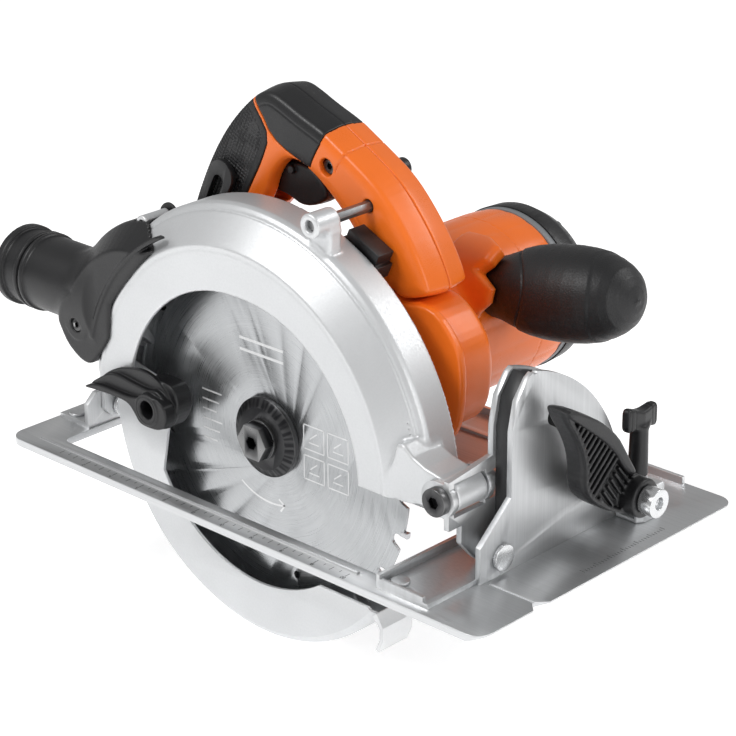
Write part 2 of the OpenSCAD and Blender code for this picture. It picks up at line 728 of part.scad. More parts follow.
module front_knob_screw() color("#9da0a3") knob_place() difference() {
    union() {
        xcyl(0, 0, -7.5, 38, 3);
        xcyl(0, 0, -9.5, -7.5, 5);
    }
    translate([-10.5, 0, 0]) rotate([0, 90, 0]) linear_extrude(2.2) hex2(4);
}

module switch_block() color("#3a3b3e") block([-53, handle_y - 7.6, 134],
    [-42.6, handle_y + 7.6, 150]);

trigger_x = -16;
trigger_z = 154;

module switch_trigger() color("#161719") {
    xz(handle_y - 7, handle_y + 7) polygon([[-34, 153], [-14, 159], [-2, 156.5], [6, 149.5], [7, 142],
        [-9, 135], [-21, 139.5], [-30, 140]]);
    // moulded pivot pegs
    ycyl(trigger_x, trigger_z, handle_y - 9.2, handle_y + 9.2, 2.03);
}

module lock_off_button() color("#161719") {
    ycyl(button_x, button_z, handle_y + 2, handle_y1 + 7.5, 5);
    ycyl(button_x, button_z, handle_y + 1, handle_y + 2.6, 7);
}

module hex_key() color("#6f7276") xz(-9.6, 50) at2(key_x, key_z) hex2(5);

lock_a = 65;             // direction of the spindle lock, seen from the blade side
lock_travel = 3;

// flat strip of the spindle lock, ending in a tongue at radius r0
module lock_strip2(g, r0) translate([0, arbor_z]) rotate(lock_a) {
    translate([r0, -2.5 - g]) square([10, 5 + 2 * g]);
    translate([r0 + 5, -4 - g]) square([102 - r0, 8 + 2 * g]);
}

module spindle_lock() color("#202123") {
    xz(15.2, 16.9) lock_strip2(0, 11.6);
    xz(15.2, 25.6) translate([0, arbor_z]) rotate(lock_a) translate([104, -12]) square([8, 25]);
    xz(15.2, 25.6) translate([0, arbor_z]) rotate(lock_a) translate([111, -10]) square([7, 21]);
}

module depth_stud() color("#8d9093") {
    ycyl(stud_x, stud_z, 12, 38, 2.9);
    ycyl(stud_x, stud_z, back_y, 21.5, 6);
}

module depth_lever() color("#1b1c1e") translate([stud_x, 0, stud_z]) rotate([0, -2, 0])
    difference() {
        union() {
            ycyl(0, 0, 25.4, 36, 8);
            xz(29, 36) bar2([0, 0], [-34, 18], 6);
        }
        ycyl(0, 0, 20, 40, 3);
    }

// ---- motor -----------------------------------------------------------------

module stator() color("#7a7d80") difference() {
    ycyl(motor_x, motor_z, 78, 124, motor_r - 3.1);
    ycyl(motor_x, motor_z, 77, 125, 24);
    for (a = [0, 180]) translate([motor_x, 0, motor_z]) rotate([0, a, 0]) block([20, 77, -13],
        [33, 125, 13]);
    for (a = housing_screw_a) translate([motor_x, 0, motor_z]) rotate([0, -a, 0])
        translate([housing_screw_r, 0, 0]) ycyl(0, 0, 30, 170, 2.2);
    // relief at the boss of the front knob
    knob_place() xcyl(0, 0, -14, 2, 8);
}

module stator_coils() color("#b5651d") for (a = [0, 180]) translate([motor_x, 0, motor_z])
    rotate([0, a, 0]) {
    block([25.2, 70, -12.6], [32.6, 132, -6]);
    block([25.2, 70, 6], [32.6, 132, 12.6]);
    block([25.2, 70, -12.6], [32.6, 77, 12.6]);
    block([25.2, 125, -12.6], [32.6, 132, 12.6]);
}

module brush_holders() color("#c9a24a") for (s = [-1, 1]) translate([motor_x, 0, motor_z])
    difference() {
        block([min(s * 16, s * 38), 143, -6], [max(s * 16, s * 38), 155, 6]);
        block([min(s * 10, s * 36), 145.5, -3.5], [max(s * 10, s * 36), 152.5, 3.5]);
    }

module carbon_brushes() color("#2b2b2d") for (s = [-1, 1]) translate([motor_x, 0, motor_z])
    block([min(s * 14.4, s * 32), 145.5, -3.5], [max(s * 14.4, s * 32), 152.5, 3.5]);

module armature_shaft() color("#c3c6c9") ycyl(motor_x, motor_z, 18, 176, 4);

module armature_core() color("#6f7276") difference() {
    ycyl(motor_x, motor_z, 80, 122, 22.6);
    ycyl(motor_x, motor_z, 79, 123, 4);
    for (i = [0:11]) translate([motor_x, 0, motor_z]) rotate([0, i * 30, 0]) block([18, 79, -1],
        [24, 123, 1]);
}

module armature_windings() color("#b5651d") for (y = [[70, 80], [122, 132]]) difference() {
    ycyl(motor_x, motor_z, y[0], y[1], 18);
    ycyl(motor_x, motor_z, y[0] - 1, y[1] + 1, 4);
}

module commutator() color("#b87333") difference() {
    ycyl(motor_x, motor_z, 139, 158, 14);
    ycyl(motor_x, motor_z, 138, 159, 4);
    for (i = [0:11]) translate([motor_x, 0, motor_z]) rotate([0, i * 30, 0]) block([12.6, 138, -0.4],
        [15, 159, 0.4]);
}

fan_r = housing_screw_r - 2.6;

module cooling_fan() color("#3a3b3e") difference() {
    union() {
        ycyl(motor_x, motor_z, 50, 53, fan_r);
        ycyl(motor_x, motor_z, 50, 64, 9);
        for (i = [0:8]) translate([motor_x, 0, motor_z]) rotate([0, i * 40, 0]) block([8, 52, -1],
            [fan_r, 63, 1]);
    }
    ycyl(motor_x, motor_z, 49, 65, 4);
}

module pinion() color("#c3c6c9") difference() {
    xz(18, 30) at2(motor_x, motor_z) gear2(pinion_n, 0.16, mesh_a + 180 + 180 / pinion_n);
    ycyl(motor_x, motor_z, 17, 31, 4);
}

module bearing(x, z, y0, y1, r0, r1) difference() {
    ycyl(x, z, y0, y1, r1);
    ycyl(x, z, y0 - 1, y1 + 1, r0);
    yturn(x, z) {
        translate([(r0 + r1) / 2 - 1.2, y0 - 1]) square([2.4, 1.8]);
        translate([(r0 + r1) / 2 - 1.2, y1 - 0.8]) square([2.4, 1.8]);
    }
}

module motor_bearings() color("#d5d7d9") {
    bearing(motor_x, motor_z, 32, 40, 4.04, 13);
    bearing(motor_x, motor_z, 168.2, 176.2, 4.04, 11);
}

// ---- spindle and blade -----------------------------------------------------

module spindle() color("#b4b7ba") difference() {
    union() {
        ycyl(0, arbor_z, 4.6, 36, 8);
        ycyl(0, arbor_z, -3.6, 4.6, 9);
        // collar with the notches of the spindle lock
        ycyl(0, arbor_z, 15.2, 16.9, 11.3);
    }
    for (a = [lock_a, lock_a + 180]) xz(15, 17.1) translate([0, arbor_z]) rotate(a)
        translate([8.1, -2.8]) square([6, 5.6]);
    ycyl(0, arbor_z, -4, 15, 4);
    block([-10, -4, arbor_z + 7], [10, 4.52, arbor_z + 10]);
    block([-10, -4, arbor_z - 10], [10, 4.52, arbor_z - 7]);
}

module spindle_gear() color("#9da0a3") difference() {
    xz(18, 29) at2(0, arbor_z) gear2(gear_n, 0.16, mesh_a);
    ycyl(0, arbor_z, 17, 30, 8);
    for (i = [0:5]) translate([0, 0, arbor_z]) rotate([0, i * 60, 0]) ycyl(17, 0, 17, 30, 3.4);
}

module spindle_bearings() color("#d5d7d9") {
    bearing(0, arbor_z, 7, 15, 8.04, 14);
    bearing(0, arbor_z, 31.4, 36, 8.04, 9.5);
}

module flange_hole2() intersection() {
    circle(9.02);
    translate([-12, -7.02]) square([24, 14.04]);
}

module inner_flange() color("#3a3b3e") difference() {
    union() {
        ycyl(0, arbor_z, blade_t / 2, 4.5, 19);
        ycyl(0, arbor_z, -blade_t / 2, blade_t / 2, bore_d / 2);
    }
    xz(-2, 5) at2(0, arbor_z) flange_hole2();
}

module blade() color("#aeb2b5") difference() {
    xz(-blade_t / 2, blade_t / 2) translate([0, arbor_z]) difference() {
        circle(blade_r - 3);
        circle(bore_d / 2);
        // gullets in front of each tooth
        for (i = [0:teeth - 1]) rotate(i * 360 / teeth) {
            translate([blade_r - 5.6, -5.2]) circle(3.4);
            polygon([[blade_r - 5.4, -1.8], [blade_r + 3, -1.2], [blade_r + 3, -12.6],
                [blade_r - 7.5, -8]]);
        }
        // expansion slots with a round end
        for (a = [14, 104, 194, 284]) rotate(a) {
            translate([blade_r - 22, -0.4]) square([24, 0.8]);
            translate([blade_r - 23, 0]) circle(2);
        }
        // seats of the tips
        for (i = [0:teeth - 1]) rotate(i * 360 / teeth) translate([blade_r, 0]) tip2();
    }
}

module tip2() polygon([[0, -1.1], [-0.5, 2.2], [-4.4, 0.8], [-4.4, -1.6]]);

module carbide_tips() color("#8b8e92") for (i = [0:teeth - 1]) translate([0, 0, arbor_z])
    rotate([0, -i * 360 / teeth, 0]) translate([blade_r, 0, 0]) xz(-1.3, 1.3) tip2();

module outer_flange() color("#1f2022") difference() {
    yturn(0, arbor_z) polygon([[0, -6], [16, -6], [20.5, -3.6], [20.5, -blade_t / 2], [0, -blade_t / 2]]);
    ycyl(0, arbor_z, -10, 3, 9.05);
}

module blade_bolt() color("#2a2b2d") difference() {
    union() {
        ycyl(0, arbor_z, -6, 13, 4);
        ycyl(0, arbor_z, -7.6, -6, 10.2);
        xz(-13, -7.6) at2(0, arbor_z) hex2(17);
    }
    xz(-14, -8.5) at2(0, arbor_z) hex2(6);
}

// ---- lower guard -----------------------------------------------------------

lg_a0 = 168;             // rear end of the closed guard
lg_a1 = 320;             // front end

module lg_sector2(r) translate([0, arbor_z]) slice2(r, lg_a0, lg_a1, 40);

boss_x = -57;
boss_z = 36;

module lower_guard() color("#c6c9cc") difference() {
    union() {
        // rim with its small outer chamfer, and the inner wall
        intersection() {
            yturn(0, arbor_z) polygon([[0, 8], [lower_r - 1.6, 8], [lower_r - 1.6, -7.2],
                [lower_r - 4.2, -9.4], [30, -9.4], [30, -11], [lower_r - 3.8, -11], [lower_r, -7.8],
                [lower_r, 9.5], [0, 9.5]]);
            xz(-12, 10) lg_sector2(lower_r * 1.3);
        }
        ycyl(0, arbor_z, 8, 11.7, 25);
        // lip bent down from the front end of the rim
        xz(-11, 9.5) polygon([[78.5, -36.5], [81, -34.4], [85, -41], [85, -48], [82, -55], [80, -54],
            [82.6, -48],
            [82.6, -42.4]]);
    }
    // the outer wall is a crescent with a wide rear end
    xz(-13, 7.9) difference() {
        translate([0, arbor_z]) intersection() {
            circle(76);
            polygon([[-60, 0], [-49, 10], [-49, 30], [120, 30], [120, -120], [-70, -120], [-68, -40]]);
        }
    }
    // straight front end of the walls
    xz(-13, 7.9) polygon([[38, -33], [130, -33], [130, 40], [38, 40]]);
    ycyl(0, arbor_z, 0, 12, 20.05);
    ycyl(boss_x, boss_z, -15, -5, 2.2);
}

// finger wing of the swinging guard: three steps in X and Z, from the front one to the rear one
wing_a = [[-107, 34.5], [-96, 39], [-69, 39], [-60, 42.5], [-52, 44], [-46.5, 42], [-43.5, 38], [-44, 30],
    [-49.5, 27], [-57.5, 26], [-63.5, 27], [-66.5, 31], [-71.5, 36], [-96, 35.6]];
wing_b = [[-104, 36], [-94, 43], [-87.5, 46], [-81, 46.5], [-60, 45], [-54.5, 46], [-50, 44.5], [-44, 38.5],
    [-44, 30], [-49.5, 26.5], [-57.5, 26], [-64, 27], [-70, 34], [-96, 35]];
wing_c = [[-100, 37], [-96, 42], [-85.5, 48.5], [-70.5, 52], [-62.5, 52], [-55.5, 50], [-49.5, 45.5], [-45.5, 39],
    [-44, 31], [-50, 25], [-60, 25], [-68, 30], [-84, 34], [-96, 34.5]];

module guard_lever() color("#161719") difference() {
    union() {
        ycyl(boss_x, boss_z, -29.4, -11.1, 8);
        xz(-29, -25) polygon(wing_a);
        xz(-26, -22) polygon(wing_b);
        xz(-23, -20.1) polygon(wing_c);
        xz(-21, -11.1) polygon([[-69, 46], [-62, 49], [-50, 49.5], [-44.5, 46.5], [-42, 38.5], [-46.5, 28],
            [-56, 22], [-66, 26]]);
    }
    ycyl(boss_x, boss_z, -30, -17, 4.6);
    ycyl(boss_x, boss_z, -30, -5, 2.2);
}

module guard_lever_screw() color("#55575a") difference() {
    union() {
        ycyl(boss_x, boss_z, -17, -9.4, 2.2);
        ycyl(boss_x, boss_z, -19.6, -17, 4);
    }
    xz(-20, -18.2) at2(boss_x, boss_z) hex2(3);
}

module guard_circlip() color("#8d9093") difference() {
    ycyl(0, arbor_z, 11.95, 13.1, 23);
    ycyl(0, arbor_z, 11, 14, 19.1);
    block([-3, 11, arbor_z - 30], [3, 14, arbor_z - 10]);
}

module guard_spring() color("#5b5d60") difference() {
    ycyl(0, arbor_z, 12.2, 13.2, 28);
    ycyl(0, arbor_z, 11, 14.2, 24.4);
}

// ---- all nodes -------------------------------------------------------------

sole_plate();
front_quadrant();
rear_bracket();
sole_rivets();
hinge_pins();
guide_clamp();
guide_wing_screw();
front_tilt_plate();
bevel_liner();
rear_tilt_arm();
depth_guide();
guide_rivets();
bevel_bolt();
bevel_lever();
depth_pivot_bolt();
lock_nuts();
upper_guard();
dust_port();
gear_housing();
motor_housing();
trim_ring();
end_cap();
handle_shell_blade_side();
handle_shell_motor_side();
handle_top_cap();
handle_grip();
casing_screws();
front_knob();
front_knob_screw();
switch_block();
switch_trigger();
lock_off_button();
hex_key();
spindle_lock();
depth_stud();
depth_lever();
stator();
stator_coils();
brush_holders();
carbon_brushes();
armature_shaft();
armature_core();
armature_windings();
commutator();
cooling_fan();
pinion();
motor_bearings();
spindle();
spindle_gear();
spindle_bearings();
inner_flange();
blade();
carbide_tips();
outer_flange();
blade_bolt();
lower_guard();
guard_lever();
guard_lever_screw();
guard_circlip();
guard_spring();
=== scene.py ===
import json
import math

import bpy
import numpy as np
from mathutils import Matrix, Vector


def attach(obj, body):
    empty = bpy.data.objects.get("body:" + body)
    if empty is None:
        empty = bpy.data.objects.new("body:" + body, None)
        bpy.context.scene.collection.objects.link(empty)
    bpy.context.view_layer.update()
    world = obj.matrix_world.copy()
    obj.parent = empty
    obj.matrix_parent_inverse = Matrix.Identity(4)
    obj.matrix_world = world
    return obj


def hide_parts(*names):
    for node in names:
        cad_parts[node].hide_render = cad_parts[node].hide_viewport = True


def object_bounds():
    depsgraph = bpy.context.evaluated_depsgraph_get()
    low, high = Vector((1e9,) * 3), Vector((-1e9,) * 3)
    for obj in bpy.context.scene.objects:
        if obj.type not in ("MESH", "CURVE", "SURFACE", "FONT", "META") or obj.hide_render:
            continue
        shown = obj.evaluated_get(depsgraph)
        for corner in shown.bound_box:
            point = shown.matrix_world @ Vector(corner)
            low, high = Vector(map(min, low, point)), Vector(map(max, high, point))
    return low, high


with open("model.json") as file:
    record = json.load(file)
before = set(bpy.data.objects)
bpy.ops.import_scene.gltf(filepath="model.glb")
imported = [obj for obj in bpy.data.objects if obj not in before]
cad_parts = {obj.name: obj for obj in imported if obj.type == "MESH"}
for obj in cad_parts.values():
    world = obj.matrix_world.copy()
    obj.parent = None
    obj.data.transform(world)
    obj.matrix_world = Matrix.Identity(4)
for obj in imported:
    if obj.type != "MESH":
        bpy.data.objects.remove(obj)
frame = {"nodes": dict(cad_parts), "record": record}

CAD_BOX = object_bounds()
NODES = frame["nodes"]
MM = 0.001

# ---- driving places, in millimetres, as in the CAD frame ---------------------

ARBOR_Z = 30.0                       # spindle axis, along Y at x = 0
GUARD_X = -6.0                       # centre of the upper guard
MOTOR_X, MOTOR_Z, MOTOR_R = 10.0, 63.0, 44.0
HANDLE_Y, HANDLE_W = 42.0, 30.0
PIVOT_X, PIVOT_Z = 129.0, 44.0       # depth pivot, along Y
KNOB_ROOT, KNOB_RISE = (46.0, 112.0, 88.0), 10.0


# ---- fields: signed distance functions of points (N, 3) in millimetres -------

def outline_distance(u, v, outline):
    """Signed distance in a plane to a closed outline, negative inside."""
    best = np.full(u.shape, 1e18)
    inside = np.zeros(u.shape, bool)
    ends = np.roll(outline, -1, axis=0)
    for (ax, ay), (bx, by) in zip(outline, ends):
        ex, ey = bx - ax, by - ay
        px, py = u - ax, v - ay
        t = np.clip((px * ex + py * ey) / (ex * ex + ey * ey + 1e-12), 0, 1)
        best = np.minimum(best, (px - t * ex) ** 2 + (py - t * ey) ** 2)
        crosses = (ay > v) != (by > v)
        if ey != 0:
            inside ^= crosses & (u < ax + (v - ay) * ex / ey)
    return np.where(inside, -1, 1) * np.sqrt(best)


def rounded(points, passes=2, keep=0.25):
    """Outline with its corners cut again and again, which rounds them."""
    points = np.array(points, float)
    for _ in range(passes):
        ends = np.roll(points, -1, axis=0)
        first = points * (1 - keep) + ends * keep
        second = points * keep + ends * (1 - keep)
        points = np.stack([first, second], 1).reshape(-1, 2)
    return points


def smooth_max(a, b, k):
    h = np.maximum(k - np.abs(a - b), 0) / k
    return np.maximum(a, b) + h * h * k / 4


def smooth_min(a, b, k):
    return -smooth_max(-a, -b, k)


def slab(value, low, high):
    return np.maximum(low - value, value - high)


def plate_field(flat, height, low, high, r):
    """Extrusion of the flat distance between two heights, with edges rounded by r."""
    side = flat + r
    lift = slab(height, low, high) + r
    outside = np.hypot(np.maximum(side, 0), np.maximum(lift, 0))
    return outside + np.minimum(np.maximum(side, lift), 0) - r


def rod_field(p, a, b, r0, r1=None):
    """Cone or capsule-like rod from a to b, with flat rounded ends."""
    a, b = np.array(a, float), np.array(b, float)
    axis = (b - a) / np.linalg.norm(b - a)
    along = (p - a) @ axis
    radial = np.linalg.norm(p - a - along[:, None] * axis, axis=1)
    length = np.linalg.norm(b - a)
    r1 = r0 if r1 is None else r1
    radius = r0 + (r1 - r0) * np.clip(along / length, 0, 1)
    return smooth_max(radial - radius, slab(along, 0, length), 1.2)


def box_field(p, low, high, r):
    low, high = np.array(low, float) + r, np.array(high, float) - r
    q = np.maximum(low - p, p - high)
    return np.linalg.norm(np.maximum(q, 0), axis=1) + np.minimum(q.max(1), 0) - r


# ---- meshes ------------------------------------------------------------------

def new_piece(name, verts, faces, smooth=True):
    mesh = bpy.data.meshes.new(name)
    mesh.from_pydata([tuple(v) for v in verts], [], [tuple(f) for f in faces])
    mesh.validate()
    mesh.update()
    if smooth:
        mesh.polygons.foreach_set("use_smooth", [True] * len(mesh.polygons))
    piece = bpy.data.objects.new(name, mesh)
    bpy.context.scene.collection.objects.link(piece)
    return piece


def net_of(field, low, high, step):
    """Surface net of the field's zero level: vertices (mm) and quads."""
    low, high = np.array(low, float), np.array(high, float)
    block = 4
    n = (np.ceil((high - low) / step / block).astype(int)) * block
    centres = [low[i] + step * (np.arange(n[i] // block) * block + (block - 1) / 2) for i in range(3)]
    coarse = field(np.stack(np.meshgrid(*centres, indexing="ij"), -1).reshape(-1, 3))
    coarse = coarse.reshape([m // block for m in n])
    value = coarse.repeat(block, 0).repeat(block, 1).repeat(block, 2)
    near = np.argwhere(np.abs(value) < 1.5 * block * step)
    value[tuple(near.T)] = field(low + near * step)
    total = np.zeros(tuple(n - 1) + (3,))
    count = np.zeros(tuple(n - 1))
    edges = []
    for axis in range(3):
        u, v = (axis + 1) % 3, (axis + 2) % 3
        a = np.take(value, range(n[axis] - 1), axis)
        b = np.take(value, range(1, n[axis]), axis)
        cross = (a < 0) != (b < 0)
        t = np.where(cross, a / np.where(a == b, 1, a - b), 0)
        edges.append((cross, a < 0))
        for du in (0, 1):
            for dv in (0, 1):
                cut = [slice(None)] * 3
                cut[u] = slice(du, n[u] - 1 + du)
                cut[v] = slice(dv, n[v] - 1 + dv)
                c = cross[tuple(cut)]
                total[..., axis] += t[tuple(cut)] * c
                total[..., u] += du * c
                total[..., v] += dv * c
                count += c
    active = count > 0
    number = np.full(active.shape, -1)
    number[active] = np.arange(active.sum())
    verts = low + (np.argwhere(active) + total[active] / count[active][:, None]) * step
    quads = []
    for axis, (cross, outward) in enumerate(edges):
        u, v = (axis + 1) % 3, (axis + 2) % 3
        at = np.argwhere(cross)
        at = at[(at[:, u] > 0) & (at[:, v] > 0) & (at[:, u] < n[u] - 1) & (at[:, v] < n[v] - 1)]
        ring = []
        for du, dv in ((1, 1), (0, 1), (0, 0), (1, 0)):
            cell = at.copy()
            cell[:, u] -= du
            cell[:, v] -= dv
            ring.append(number[tuple(cell.T)])
        quad = np.stack(ring, 1)
        flip = ~outward[tuple(at.T)]
        quad[flip] = quad[flip][:, ::-1]
        quads.append(quad)
    return verts, np.concatenate(quads)


def settle(verts, field, reach, rounds=2):
    """Moves the vertices onto the field's zero level."""
    eps = 0.05
    for _ in range(rounds):
        value = field(verts)
        slope = np.stack([(field(verts + eps * e) - value) / eps for e in np.eye(3)], 1)
        size = np.maximum((slope ** 2).sum(1), 0.2)
        move = -slope * (value / size)[:, None]
        length = np.linalg.norm(move, axis=1)
        verts = verts + move * np.minimum(1, reach / np.maximum(length, 1e-9))[:, None]
    return verts


def sculpt(name, field, low, high, step):
    """Piece whose surface is the zero level of a field inside a box."""
    verts, quads = net_of(field, low, high, step)
    verts = settle(verts, field, step * 0.6)
    return new_piece(name, verts * MM, quads)


# ---- materials ---------------------------------------------------------------

class Shader:
    """A material with short calls for its nodes. All patterns use the part's own frame."""

    def __init__(self, name):
        self.material = bpy.data.materials.new(name)
        self.material.use_nodes = True
        self.tree = self.material.node_tree
        self.bsdf = self.tree.nodes["Principled BSDF"]
        self.place = self.node("ShaderNodeTexCoord").outputs["Object"]

    def node(self, kind, inputs=None, **settings):
        made = self.tree.nodes.new(kind)
        for key, value in settings.items():
            setattr(made, key, value)
        for key, value in (inputs or {}).items():
            self.feed(made.inputs[key], value)
        return made

    def feed(self, socket, value):
        if isinstance(value, bpy.types.NodeSocket):
            self.tree.links.new(value, socket)
        else:
            socket.default_value = value

    def stretched(self, scale):
        return self.node("ShaderNodeMapping", {"Vector": self.place, "Scale": scale}).outputs[0]

    def noise(self, scale, detail=3.0, rough=0.5, at=None):
        return self.node("ShaderNodeTexNoise", {"Vector": at or self.place, "Scale": scale, "Detail": detail,
                                                "Roughness": rough}).outputs["Fac"]

    def cells(self, scale, at=None):
        cells = self.node("ShaderNodeTexVoronoi", {"Vector": at or self.place, "Scale": scale})
        return cells.outputs["Distance"]

    def math(self, operation, a, b=0.0, c=0.0):
        return self.node("ShaderNodeMath", {0: a, 1: b, 2: c}, operation=operation).outputs[0]

    def spread(self, value, low, high, out_low, out_high):
        return self.node("ShaderNodeMapRange", {"Value": value, "From Min": low, "From Max": high,
                                                "To Min": out_low, "To Max": out_high}).outputs[0]

    def mix(self, factor, a, b):
        made = self.node("ShaderNodeMix", data_type="RGBA")
        self.feed(made.inputs[0], factor)
        self.feed(made.inputs[6], a)
        self.feed(made.inputs[7], b)
        return made.outputs[2]

    def bump(self, height, strength, distance, normal=None):
        made = self.node("ShaderNodeBump", {"Height": height, "Strength": strength, "Distance": distance})
        if normal is not None:
            self.feed(made.inputs["Normal"], normal)
        return made.outputs[0]

    def worn_edges(self, low=0.52, high=0.6):
        """0 on flats, 1 on sharp convex edges, where a painted edge highlight is laid."""
        pointed = self.node("ShaderNodeNewGeometry").outputs["Pointiness"]
        return self.spread(pointed, low, high, 0.0, 1.0)

    def finish(self, colour, roughness, normal=None, metallic=0.0, **fixed):
        self.feed(self.bsdf.inputs["Base Color"], colour)
        self.feed(self.bsdf.inputs["Roughness"], roughness)
        self.bsdf.inputs["Metallic"].default_value = metallic
        if normal is not None:
            self.feed(self.bsdf.inputs["Normal"], normal)
        for key, value in fixed.items():
            self.bsdf.inputs[key.replace("_", " ")].default_value = value
        return self.material


def shade(colour, factor):
    return tuple(min(1.0, c * factor) for c in colour[:3]) + (1.0,)


def plastic(name, colour, rough, grain, depth, blotch=0.10, edge=0.12):
    """Moulded plastic with the fine grain of an etched mould."""
    s = Shader(name)
    cloud = s.noise(35, 4)
    tone = s.mix(s.spread(cloud, 0.3, 0.7, 0, 1), shade(colour, 1 - blotch), shade(colour, 1 + blotch))
    # sharp convex edges lightened towards pale grey: a painted edge highlight
    tone = s.mix(s.math("MULTIPLY", s.worn_edges(0.54, 0.64), edge * 0.4), tone, (0.8, 0.8, 0.8, 1))
    pits = s.noise(grain, 2, 0.6)
    skin = s.bump(pits, 0.5, depth)
    skin = s.bump(s.noise(60, 2), 0.10, 0.0004, skin)
    gloss = s.math("ADD", s.spread(pits, 0.3, 0.7, -0.06, 0.06),
                   s.spread(cloud, 0.3, 0.7, rough - 0.05, rough + 0.05))
    return s.finish(tone, gloss, skin)


def sheet_metal(name, colour, rough, stretch, lines=0.25, blotch=0.07):
    """Plated or bare sheet with fine drawn lines along one direction."""
    s = Shader(name)
    drawn = s.noise(1.0, 3, 0.6, s.stretched(stretch))
    cloud = s.noise(22, 5)
    tone = s.mix(s.spread(cloud, 0.3, 0.7, 0, 1), shade(colour, 1 - blotch), shade(colour, 1 + blotch * 0.6))
    tone = s.mix(s.spread(drawn, 0.35, 0.65, 0, lines), tone, shade(colour, 0.72))
    # sharp convex edges lightened towards near white: a painted edge highlight
    tone = s.mix(s.math("MULTIPLY", s.worn_edges(), 0.5), tone, (0.93, 0.93, 0.93, 1))
    gloss = s.math("ADD", s.spread(drawn, 0.3, 0.7, -0.06, 0.06),
                   s.spread(cloud, 0.3, 0.7, rough - 0.05, rough + 0.06))
    return s.finish(tone, gloss, s.bump(drawn, 0.12, 0.0001), 0.85)


def cast_metal(name, colour, rough, grain=900):
    """Painted or tumbled die casting: a faint orange peel, with edges lightened towards near white as a
    painted highlight.
    """
    s = Shader(name)
    cloud = s.noise(18, 5)
    peel = s.noise(grain, 2)
    tone = s.mix(s.spread(cloud, 0.3, 0.7, 0, 1), shade(colour, 0.95), shade(colour, 1.04))
    tone = s.mix(s.spread(peel, 0.35, 0.65, 0, 0.10), tone, shade(colour, 0.8))
    # sharp convex edges lightened towards near white: a painted edge highlight
    tone = s.mix(s.math("MULTIPLY", s.worn_edges(), 0.6), tone, (0.95, 0.95, 0.95, 1))
    gloss = s.spread(peel, 0.3, 0.7, rough - 0.05, rough + 0.07)
    return s.finish(tone, gloss, s.bump(peel, 0.22, 0.00012), 0.55)


def blade_metal():
    """Ground disc: fine circles round the bore, which stretch the highlights into cones."""
    s = Shader("blade_steel")
    split = s.node("ShaderNodeSeparateXYZ", {0: s.place})
    height = s.math("SUBTRACT", split.outputs[2], ARBOR_Z * MM)
    radius = s.math("SQRT", s.math("ADD", s.math("MULTIPLY", split.outputs[0], split.outputs[0]),
                                   s.math("MULTIPLY", height, height)))
    angle = s.math("ARCTAN2", height, split.outputs[0])
    rings = s.node("ShaderNodeCombineXYZ",
                   {0: s.math("MULTIPLY", radius, 2600.0), 1: s.math("MULTIPLY", angle, 1.4)})
    lines = s.noise(1.0, 3, 0.7, rings.outputs[0])
    # darker sectors by angle round the bore: painted shade standing in for the dark parts of the cone-shaped
    # highlights
    painted_sheen_sectors = s.node("ShaderNodeCombineXYZ", {0: s.math("MULTIPLY", angle, 1.0)})
    tone = s.mix(s.spread(lines, 0.3, 0.7, 0, 1), (0.40, 0.41, 0.42, 1), (0.56, 0.57, 0.58, 1))
    tone = s.mix(s.spread(s.noise(2.0, 2, 0.5, painted_sheen_sectors.outputs[0]), 0.35, 0.65, 0, 0.25), tone,
                 (0.34, 0.35, 0.36, 1))
    turn = s.node("ShaderNodeTangent", direction_type="RADIAL", axis="Y").outputs[0]
    s.feed(s.bsdf.inputs["Tangent"], turn)
    return s.finish(tone, s.spread(lines, 0.3, 0.7, 0.24, 0.36), s.bump(lines, 0.10, 0.0001), 1.0,
                    Anisotropic=0.75)


ORANGE = (0.86, 0.165, 0.012)
MATERIALS = {
    "sole_metal": sheet_metal("sole_metal", (0.60, 0.61, 0.62), 0.36, (12, 900, 900)),
    "cast_metal": cast_metal("cast_metal", (0.66, 0.67, 0.68), 0.42),
    "gear_metal": cast_metal("gear_metal", (0.42, 0.43, 0.44), 0.5, 500),
    "pressed_steel": sheet_metal("pressed_steel", (0.56, 0.57, 0.58), 0.38, (300, 900, 20)),
    "bright_steel": sheet_metal("bright_steel", (0.70, 0.71, 0.72), 0.22, (40, 900, 900), 0.15),
    "blade_steel": blade_metal(),
    "carbide": sheet_metal("carbide", (0.36, 0.36, 0.38), 0.30, (900, 40, 900), 0.2),
    "dark_steel": sheet_metal("dark_steel", (0.020, 0.020, 0.022), 0.34, (500, 500, 500), 0.2, 0.15),
    "black_paint": plastic("black_paint", (0.010, 0.010, 0.011), 0.40, 700, 0.00006),
    "orange_plastic": plastic("orange_plastic", ORANGE, 0.34, 2600, 0.00004, 0.05, 0.10),
    "black_plastic": plastic("black_plastic", (0.0075, 0.0075, 0.0085), 0.42, 1500, 0.00012),
    "soft_grip": plastic("soft_grip", (0.0065, 0.0065, 0.0075), 0.50, 1100, 0.00030),
    "grey_plastic": plastic("grey_plastic", (0.20, 0.21, 0.22), 0.45, 1800, 0.00006),
    "lamination": sheet_metal("lamination", (0.30, 0.30, 0.31), 0.45, (60, 1600, 60)),
    "enamel_wire": sheet_metal("enamel_wire", (0.45, 0.15, 0.04), 0.30, (900, 900, 30), 0.5),
    "brass_part": sheet_metal("brass_part", (0.60, 0.42, 0.15), 0.30, (40, 900, 900)),
    "copper_bars": sheet_metal("copper_bars", (0.65, 0.30, 0.15), 0.25, (900, 20, 900)),
    "graphite": plastic("graphite", (0.03, 0.03, 0.032), 0.5, 800, 0.00008),
}


def wear(piece, slot):
    piece.data.materials.clear()
    piece.data.materials.append(MATERIALS[slot])


# ---- carried-over CAD nodes: welded, dissolved to clean faces, edges rounded ---

SLOT_OF = {s["node"]: s["material_slot"] for s in frame["record"]["subparts"]}


